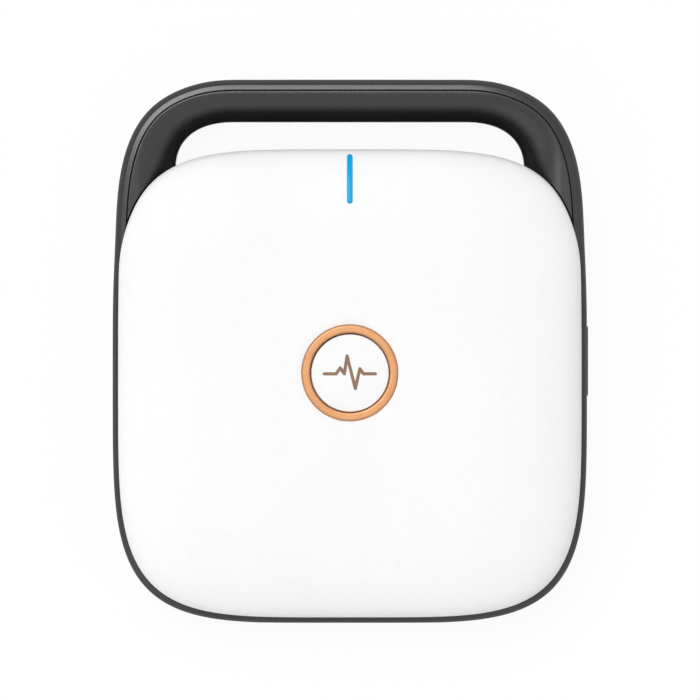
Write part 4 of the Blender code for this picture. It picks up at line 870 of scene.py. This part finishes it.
button = {"top": 0.0279, "radius": 0.01056, "hole": 0.00868, "skirt": 0.0096, "seat": 0.0266,
          "seatEdge": 0.0001, "skirtLow": 0.0245,
          "outerEdge": ((0.00054, 0.0), (0.00034, 0.0), (0.00024, 0.00005), (0.00005, 0.000336),
                        (0.0, 0.00047)),
          "innerEdge": ((0.0, 0.00088), (0.00004, 0.00068), (0.00022, 0.00006), (0.00032, 0.0),
                        (0.00052, 0.0))}
cap = {"radius": 0.00847, "shift": (0.00006, -0.00005), "top": 0.02745, "crown": 0.00015,
       "parts": (0.0, 0.2, 0.4, 0.6, 0.8, 0.93), "round": 0.00016, "flangeRadius": 0.00938,
       "flangeTop": 0.0242, "flangeLow": 0.02355, "low": 0.0232, "well": 0.00698, "roof": 0.02625,
       "stem": 0.0020}
mark = {"path": [(-0.0056, -0.0002), (-0.0030, -0.0002), (-0.0021, 0.0011), (-0.0012, -0.0002),
                 (-0.0006, 0.0037), (0.0012, -0.0034), (0.0022, 0.0009), (0.0030, -0.0002),
                 (0.0056, -0.0002)],
        "width": 0.00070, "endShare": 0.49, "height": 0.00005, "sunk": 0.0001, "tall": 0.01}


def makeRing():
    top, radius, hole, skirt, seat, edge, low = (
        button[key] for key in ("top", "radius", "hole", "skirt", "seat", "seatEdge", "skirtLow"))
    profile = [(radius - inwards, top - down) for inwards, down in button["outerEdge"]]
    profile += [(radius, seat + edge), (radius - edge, seat), (skirt, seat), (skirt, low), (hole, low)]
    profile += [(hole + outwards, top - down) for outwards, down in button["innerEdge"]]
    settle(spun("button_ring_turned", profile, [at(0.0, 0.0)], 160), "copper", "button_ring", sharp=38.0)


def capHeight(radius):
    return cap["top"] - cap["crown"] * (radius / cap["radius"]) ** 2


def makeCap():
    # its flange is thin enough to clear the pad when pressed
    radius, edge, flange, under, well, roof, stem = (
        cap[key] for key in ("radius", "round", "flangeRadius", "flangeLow", "well", "roof", "stem"))
    profile = [(part * (radius - edge), capHeight(part * (radius - edge))) for part in cap["parts"]]
    profile += arc((radius - edge, capHeight(radius - edge) - edge), edge, 90, 0, 6)
    profile += [(radius, cap["flangeTop"]), (flange, cap["flangeTop"]), (flange, under), (well, under),
                (well, roof), (stem, roof), (stem, cap["low"]), (0.0, cap["low"])]
    form = spun("button_cap_moulded", profile, [at(*cap["shift"])], 128)
    settle(form, "white", "button_cap", "button", sharp=38.0)


def makeMark():
    # a pulse trace of round-ended strokes, joined into one thin print that lies on the cap
    trace, width = None, mark["width"]
    for near, far in zip(mark["path"], mark["path"][1:]):
        near, far = Vector(near), Vector(far)
        middle = (near + far) / 2
        turn = Matrix.Rotation(-Vector((1.0, 0.0)).angle_signed(far - near), 2)
        stroke = [turn @ Vector(point) + middle
                  for point in softBox((far - near).length + width, width, width * mark["endShare"])]
        form = lofted("button_mark", [flat(stroke, z) for z in (0.0, mark["tall"])])
        if trace is None:
            trace = form
        else:
            carve(trace, form, "UNION")
    for vert in trace.data.vertices:
        rise = mark["height"] if vert.co.z > mark["tall"] / 2 else -mark["sunk"]
        vert.co.z = capHeight(math.hypot(vert.co.x, vert.co.y - middleY)) + rise
    settle(trace, "mark", body="button", sharp=40.0)


makeRing()
makeCap()
makeMark()
print("button done")


# sliding battery door

grips = {"count": 5, "first": -0.0425, "pitch": 0.0016, "size": (0.0170, 0.0008),
         "sides": ((0.0006, -0.0006), (0.0, 0.0), (-0.00006, 0.00035), (-0.00018, 0.0005))}


def makeDoor():
    # a length of the channel's section, cut to the housing's outer face, with finger grooves
    envelope = lofted("envelope", housingRings())
    ends = (housing["beyond"], door["end"])
    slide = lofted("battery_door_plate", [upright(doorSection(), y) for y in ends])
    carve(slide, envelope, "INTERSECT")
    bm = bmesh.new()
    for index in range(grips["count"]):
        y = grips["first"] + index * grips["pitch"]
        loft(bm, [flat(slotBox(grips["size"], grow, (0.0, y)), back["z"] + up)
                  for grow, up in grips["sides"]])
    carve(slide, makeForm("grip_grooves", bm))
    settle(slide, "charcoal", "battery_door", "door", sharp=30.0)


makeDoor()


# rubber port cover and feet

portCover = {"outer": 0.0524, "inner": 0.0508, "innerEdge": 0.0002, "round": 0.0005, "roundSteps": 6,
             "faceEdge": 0.0001, "cornerShare": 0.8, "leastCorner": 0.0003, "plug": (0.00714, 0.00146),
             "plugDepth": 0.0010, "plugEnds": 0.96, "plugOverlap": 0.0005, "groove": (0.0080, 0.0009),
             "grooveUp": 0.0024, "grooveSides": ((-0.0003, -0.00038), (-0.0001, -0.0003), (0.00006, -0.0001),
                                                 (0.0003, 0.0002))}


def makePortCover():
    outer, inner, edge = portCover["outer"], portCover["inner"], portCover["innerEdge"]
    rings = [(edge, inner), (0.0, inner + edge)]
    rings += [(up, outer - inwards)
              for inwards, up in quarter(portCover["round"], evenTurns(portCover["roundSteps"]))]
    rings += [(portCover["round"] + portCover["faceEdge"], outer)]
    corners = [max(port["corner"] - shrink * portCover["cornerShare"], portCover["leastCorner"])
               for shrink, _ in rings]
    flap = lofted("port_cover_flap", [portBox(-shrink, corner, x)
                                      for (shrink, x), corner in zip(rings, corners)])
    tip = inner - portCover["plugDepth"]
    plug = [portSlot(portCover["plug"], -shrink, x, portCover["plugEnds"]) for shrink, x in
            ((edge, tip), (0.0, tip + edge), (0.0, inner + portCover["plugOverlap"]))]
    carve(flap, lofted("port_plug", plug), "UNION")
    groove = [portSlot(portCover["groove"], grow, outer + out, up=portCover["grooveUp"])
              for grow, out in portCover["grooveSides"]]
    carve(flap, lofted("finger_groove", groove))
    settle(flap, "rubber", "port_cover", "port_flap", sharp=40.0)


def makeFeet():
    radius, edge, hollow, top = feet["radius"], feet["round"], feet["hollow"], back["z"] + feet["sunk"]
    inside, rim = (radius * share for share in feet["hollowShares"])
    profile = [(0.0, hollow), (inside, hollow), (rim, 0.0), (radius - edge, 0.0)]
    profile += arc((radius - edge, edge), edge, -90, 0)[1:] + [(radius, top), (0.0, top)]
    for index, (x, y) in enumerate(feet["spots"]):
        form = spun("foot_%d" % (index + 1), profile, [at(x, y)], 72)
        settle(form, "rubber", "rubber_foot_%d" % (index + 1))


makePortCover()
makeFeet()
print("door, port cover and feet done")


# screws on the back

screw = {"seat": 0.0052, "head": 0.0023, "height": 0.0016,
         "headShape": ((0.55, 0.00004), (0.80, 0.00022), (0.95, 0.00055), (1.0, 0.0009)), "edge": 0.0001,
         "shank": 0.00125, "neckShare": 0.9, "rootShare": 0.82, "endShare": 0.8, "threadFrom": 0.0006,
         "threadStop": 0.001,
         "pitch": 0.0005, "tip": 0.0182, "point": 0.0005, "cross": (0.0026, 0.00055),
         "crossSides": ((1.05, -0.0002), (0.98, 0.0), (0.6, 0.0010))}


def makeHousingScrews():
    seat, head, edge, shank, tip, pitch = (
        screw[key] for key in ("seat", "head", "edge", "shank", "tip", "pitch"))
    low = seat - screw["height"]
    profile = [(0.0, low)] + [(head * share, low + up) for share, up in screw["headShape"]]
    profile += [(head, seat - edge), (head - edge, seat), (shank * screw["neckShare"], seat)]
    for turn in range(int((tip - seat - screw["threadStop"]) / pitch)):
        z = seat + screw["threadFrom"] + turn * pitch
        profile += [(shank * screw["rootShare"], z), (shank, z + pitch / 2)]
    profile += [(shank * screw["endShare"], tip), (0.0, tip + screw["point"])]
    length, width = screw["cross"]
    for index, (x, y) in enumerate(bosses["spots"]):
        piece = spun("housing_screw_turned_%d" % (index + 1), profile, [at(x, y)], 48)
        for u, v in ((length / 2, width / 2), (width / 2, length / 2)):
            sides = [[(x - u * grow, y - v * grow, low + up), (x + u * grow, y - v * grow, low + up),
                      (x + u * grow, y + v * grow, low + up), (x - u * grow, y + v * grow, low + up)]
                     for grow, up in screw["crossSides"]]
            carve(piece, lofted("cross_recess", sides))
        settle(piece, "steel", "housing_screw_%d" % (index + 1))


makeHousingScrews()


# patient-cable socket: shell, insulator with its sprung sleeves, and jack screws

shellEdges = {"front": ((-0.0006, 0.0002), (-0.0005, 0.00004), (-0.0004, 0.0), (-0.00015, 0.0),
                        (-0.00005, 0.00005), (0.0, 0.00015)),
              "flange": ((0.0, -0.0004), (0.00012, -0.00012), (0.0004, 0.0)), "holeDepth": 0.002}
contacts = {"rows": (8, 7), "pitch": 0.00277, "rowStep": 0.00284, "hole": 0.0006, "flare": 0.00028,
            "flareReach": 0.0006, "depth": 0.0030, "face": -0.0502, "back": -0.0391, "wallGap": 0.0003,
            "edge": ((-0.00025, 0.0), (-0.00008, 0.00005), (0.0, 0.00025)),
            "sleeve": [(0.00036, 0.0006), (0.00040, 0.0005), (0.00050, 0.0005), (0.00054, 0.0006),
                       (0.00054, 0.0028), (0.00036, 0.0028)]}
jack = {"near": -0.0470, "length": 0.0038, "radius": 0.0027,
        "hexShape": ((0.93, 0.0), (1.0, 0.0002), (1.0, 0.00345), (0.95, 0.0037), (0.88, 0.0038)),
        "bore": 0.0011, "boreShape": ((0.0008, 0.0005), (0.0003, 0.0), (0.0, -0.0003)), "threads": 10,
        "threadShare": 0.84, "threadFrom": 0.0005, "threadStep": 0.00022, "boreDepth": 0.0030,
        "shank": [(0.0, -0.0032), (0.0012, -0.0032), (0.0013, -0.0030), (0.0013, 0.0002), (0.0, 0.0002)]}


def makeSocketShell():
    wall, base, behind = socket["deeWall"], socket["flangeY"], socket["flangeY"] + socket["flangeThick"]
    front = base - socket["deeLength"]
    plate = softBox(*socket["flange"], socket["flangeCorner"], (0.0, socket["z"]))
    rings = [deeRing(-wall, behind)]
    rings += [deeRing(grow, front + inwards) for grow, inwards in shellEdges["front"]]
    rings += [deeRing(grow, base + inwards) for grow, inwards in shellEdges["flange"]]
    rings += [upright(plate, y) for y in (base, behind)]
    shell = lofted("socket_shell_drawn", rings, closed=True)
    hole = pin(socket["jackShank"], -over, shellEdges["holeDepth"])
    carve(shell, spun("flange_holes", hole, jackPlaces(base), 24))
    settle(shell, "steel", "patient_socket_shell")


def makeSocketInsert():
    face, hole, depth, flare = (contacts[key] for key in ("face", "hole", "depth", "flare"))
    inside = -socket["deeWall"] - contacts["wallGap"]
    rings = [deeRing(inside + grow, face + inwards) for grow, inwards in contacts["edge"]]
    insert = lofted("socket_insert_moulded", rings + [deeRing(inside, contacts["back"])])
    places = [alongY((index - (count - 1) / 2) * contacts["pitch"], face,
                     socket["z"] + (0.5 - row) * contacts["rowStep"])
              for row, count in enumerate(contacts["rows"]) for index in range(count)]
    reach = contacts["flareReach"]
    bore = [(0.0, -reach), (hole + flare + reach, -reach), (hole + flare, 0.0), (hole, flare), (hole, depth),
            (0.0, depth)]
    carve(insert, spun("contact_holes", bore, places, 24))
    settle(insert, "insulator", "patient_socket_insert")
    settle(spun("socket_sleeves", contacts["sleeve"], places, 20), "brass")


def makeJackScrews():
    length, radius, bore = jack["length"], jack["radius"], jack["bore"]
    thread = [(bore * (jack["threadShare"] if turn % 2 == 0 else 1.0),
               length - jack["threadFrom"] - jack["threadStep"] * turn) for turn in range(jack["threads"])]
    mouth = [(bore + out, length + up) for out, up in jack["boreShape"]]
    hollow = [(0.0, mouth[0][1])] + mouth + thread + [(0.0, length - jack["boreDepth"])]
    corners = [(radius * math.cos(math.pi / 3 * corner), radius * math.sin(math.pi / 3 * corner))
               for corner in range(6)]
    for index, place in enumerate(jackPlaces(jack["near"], -1)):
        hexes = [[tuple(place @ Vector((x * size, y * size, height))) for x, y in corners]
                 for size, height in jack["hexShape"]]
        piece = lofted("jack_screw_hex_%d" % (index + 1), hexes)
        carve(piece, spun("jack_bore", hollow, [place], 36))
        carve(piece, spun("jack_shank", jack["shank"], [place], 28), "UNION")
        settle(piece, "steel", "socket_jack_screw_%d" % (index + 1), sharp=24.0)


makeSocketShell()
makeSocketInsert()
makeJackScrews()
print("patient socket done")


# USB socket behind the port cover

usb = {"size": (0.00894, 0.00326), "endSteps": 8, "front": 0.0502, "rear": 0.0429, "wall": 0.0003,
       "floor": 0.0438,
       "lip": ((0.0, 0.00012), (0.00003, 0.00004), (0.0001, 0.0), (0.0002, 0.0), (0.00028, 0.00006),
               (0.0003, 0.0002)),
       "tongueReach": 0.0482, "tongue": (0.0060, 0.0007), "tongueSoft": 0.00012, "overlap": 0.0002,
       "pads": 8, "padPitch": 0.00062, "padHalf": (0.00016, 0.00004), "padShort": 0.0004,
       "padSoft": 0.00003}


def makeUsb():
    floor, reach, (width, height), (halfY, halfZ) = (
        usb[key] for key in ("floor", "tongueReach", "tongue", "padHalf"))
    rings = [(0.0, usb["rear"])] + [(shrink, usb["front"] - inwards) for shrink, inwards in usb["lip"]]
    rings += [(usb["wall"], floor)]
    shell = lofted("usb_shell", [portSlot(usb["size"], -shrink, x, steps=usb["endSteps"])
                                 for shrink, x in rings])
    settle(shell, "steel", "usb_socket")
    tongue = boxed("usb_tongue", [((floor - usb["overlap"], port["y"] - width / 2, port["z"] - height / 2),
                                   (reach, port["y"] + width / 2, port["z"] + height / 2))],
                   usb["tongueSoft"])
    settle(tongue, "chip")
    pads = [(port["y"] + (index - (usb["pads"] - 1) / 2) * usb["padPitch"], port["z"] + side * height / 2)
            for index in range(usb["pads"]) for side in (-1, 1)]
    end = reach - usb["padShort"]
    strips = boxed("usb_contacts", [((floor, y - halfY, z - halfZ), (end, y + halfY, z + halfZ))
                                    for y, z in pads], usb["padSoft"])
    settle(strips, "brass")


makeUsb()


# battery cells and their springs

cell = {"rows": (-0.0257, -0.0112), "z": 0.0104, "radius": 0.0071, "half": 0.0246, "round": 0.0006,
        "base": ((0.80, 0.0), (0.83, 0.0003), (0.88, 0.0003), (0.92, 0.0)), "baseEdge": 0.0005,
        "grooveShares": (0.84, 0.80), "groove": 0.00025, "grooveFoot": 0.0006, "nub": 0.00275,
        "nubLength": 0.0010, "nubEdge": 0.0002}
spring = {"radius": 0.0034, "wire": 0.0005, "wirePoints": 10, "turns": 3, "turnSteps": 32, "taper": 0.35,
          "reach": 0.0018, "gap": 0.0003}


def makeCells():
    half, radius, edge, nub, groove, nubEdge = (
        cell[key] for key in ("half", "radius", "round", "nub", "groove", "nubEdge"))
    shoulder = half - cell["nubLength"]
    outer, inner = (radius * share for share in cell["grooveShares"])
    profile = [(0.0, -half)] + [(radius * share, -half + up) for share, up in cell["base"]]
    profile += [(radius - cell["baseEdge"], -half)] + arc((radius - edge, -half + edge), edge, -90, 0)[1:]
    profile += [(radius, shoulder - edge)] + arc((radius - edge, shoulder - edge), edge, 0, 90)
    profile += [(outer, shoulder), (inner, shoulder - groove), (nub + cell["grooveFoot"], shoulder - groove),
                (nub, shoulder), (nub, half - nubEdge), (nub - nubEdge, half), (0.0, half)]
    for index, (y, towards) in enumerate(zip(cell["rows"], (1, -1))):
        form = spun("cell_%d" % (index + 1), profile, [alongX(0.0, y, cell["z"], towards)], 72)
        settle(form, "cell", "battery_cell_%d" % (index + 1))


def makeSprings():
    # a ring of wire spun about the cell's axis with a rise at each step, then tapered
    reach, thick, steps = spring["reach"], spring["wire"], spring["turns"] * spring["turnSteps"]
    place = at(spring["radius"], 0.0) @ Matrix.Rotation(math.pi / 2, 4, "X")
    for index, (y, towards) in enumerate(zip(cell["rows"], (-1, 1))):
        bm = bmesh.new()
        wire = bmesh.ops.create_circle(bm, segments=spring["wirePoints"], radius=thick / 2, cap_ends=True,
                                       matrix=place)
        faces = list(dict.fromkeys(face for vert in wire["verts"] for face in vert.link_faces))
        bmesh.ops.spin(bm, geom=faces, cent=(0, 0, 0), axis=(0, 0, 1), angle=math.tau * spring["turns"],
                       dvec=(0.0, 0.0, -reach / steps), steps=steps)
        for vert in bm.verts:
            share = 1 - spring["taper"] * min(max(-vert.co.z / reach, 0.0), 1.0)
            vert.co.x *= share
            vert.co.y *= share
        start = cell["half"] + spring["gap"] + thick / 2
        bmesh.ops.translate(bm, verts=bm.verts, vec=(0.0, 0.0, start + reach))
        bmesh.ops.transform(bm, matrix=alongX(0.0, y, cell["z"], towards), verts=bm.verts)
        form = makeForm("spring_%d" % (index + 1), bm)
        settle(form, "steel", "contact_spring_%d" % (index + 1), sharp=60.0)


makeCells()
makeSprings()
print("battery cells done")


# camera, floor and lights

studio = {"middle": (0.00004, 0.00031), "cameraHeight": 3.0, "frameWidth": 0.15364, "aimHeight": 0.019,
          "sensor": 36.0, "clip": (0.05, 20.0), "ambient": 0.425,
          "lamps": {"key": (1.76, 32.0, (-0.24, 0.37, 1.0)), "fill": (0.32, 84.0, (0.75, -0.80, 1.0)),
                    "side": (0.34, 60.0, (-0.8, -0.7, 0.6))}}
paper = {"radius": 3.0, "points": 96, "shine": 0.94, "roughness": 0.9, "specular": 0.1, "fibre": 900.0,
         "tone": (0.2, 0.8), "dark": (0.955, 0.955, 0.955), "light": (0.965, 0.965, 0.965)}


def seenDirectly(tree):
    # 1 for rays from the camera or by way of metal or glass, 0 for the light that falls on things
    rays = tree.nodes.new("ShaderNodeLightPath").outputs
    camera, glossy, through = (Wire(tree, rays["Is %s Ray" % kind])
                               for kind in ("Camera", "Glossy", "Transmission"))
    return camera.maths("MAXIMUM", camera.maths("MAXIMUM", camera, glossy), through)


def setStudio():
    scene = bpy.context.scene
    scene.view_settings.view_transform = "Standard"
    lens = bpy.data.cameras.new("camera")
    lens.type = "PERSP"
    lens.sensor_width = studio["sensor"]
    lens.lens = studio["sensor"] * (studio["cameraHeight"] - studio["aimHeight"]) / studio["frameWidth"]
    lens.clip_start, lens.clip_end = studio["clip"]
    camera = bpy.data.objects.new("camera", lens)
    camera.location = (*studio["middle"], studio["cameraHeight"])
    scene.collection.objects.link(camera)
    scene.camera = camera
    for name, (strength, spread, direction) in studio["lamps"].items():
        sun = bpy.data.lights.new(name, "SUN")
        sun.energy, sun.angle = strength, math.radians(spread)
        lamp = bpy.data.objects.new(name, sun)
        lamp.rotation_euler = Vector(direction).to_track_quat("Z", "Y").to_euler()
        scene.collection.objects.link(lamp)
    world = bpy.data.worlds.new("studio")
    scene.world = world
    world.use_nodes = True
    background = world.node_tree.nodes["Background"]
    background.inputs["Color"].default_value = (1.0, 1.0, 1.0, 1.0)
    strength = seenDirectly(world.node_tree) * (1.0 - studio["ambient"]) + studio["ambient"]
    world.node_tree.links.new(strength.socket, background.inputs["Strength"])


def makeFloor():
    # white paper: to the camera part of it shines by itself, so it stays white and keeps the shadow
    bm = bmesh.new()
    bmesh.ops.create_circle(bm, cap_ends=True, segments=paper["points"], radius=paper["radius"])
    mesh = bpy.data.meshes.new("floor")
    bm.to_mesh(mesh)
    bm.free()
    floor = bpy.data.objects.new("floor", mesh)
    bpy.context.scene.collection.objects.link(floor)
    material, shader, place = startFinish("white_paper", {"Roughness": paper["roughness"],
                                                          "Specular IOR Level": paper["specular"]})
    fibre = place.noise(paper["fibre"]).step(*paper["tone"])
    feed(shader, Base_Color=fibre.blend(paper["dark"], paper["light"]))
    tree = material.node_tree
    glow = place.node("ShaderNodeEmission", {}, {"Color": (1, 1, 1, 1), "Strength": 1.0})
    mixed = place.node("ShaderNodeMixShader", {}, {0: seenDirectly(tree) * paper["shine"],
                                                   1: Wire(tree, shader.outputs[0]), 2: glow})
    tree.links.new(mixed.socket, tree.nodes["Material Output"].inputs["Surface"])
    mesh.materials.append(material)


setStudio()
makeFloor()


# CAD nodes that stay take the finish of their slot

kept = [node for node in frame["nodes"].values() if not node.hide_render]
for node in kept:
    for place in node.material_slots:
        place.material = finishes[place.material.name]
print("CAD nodes kept:", len(kept))
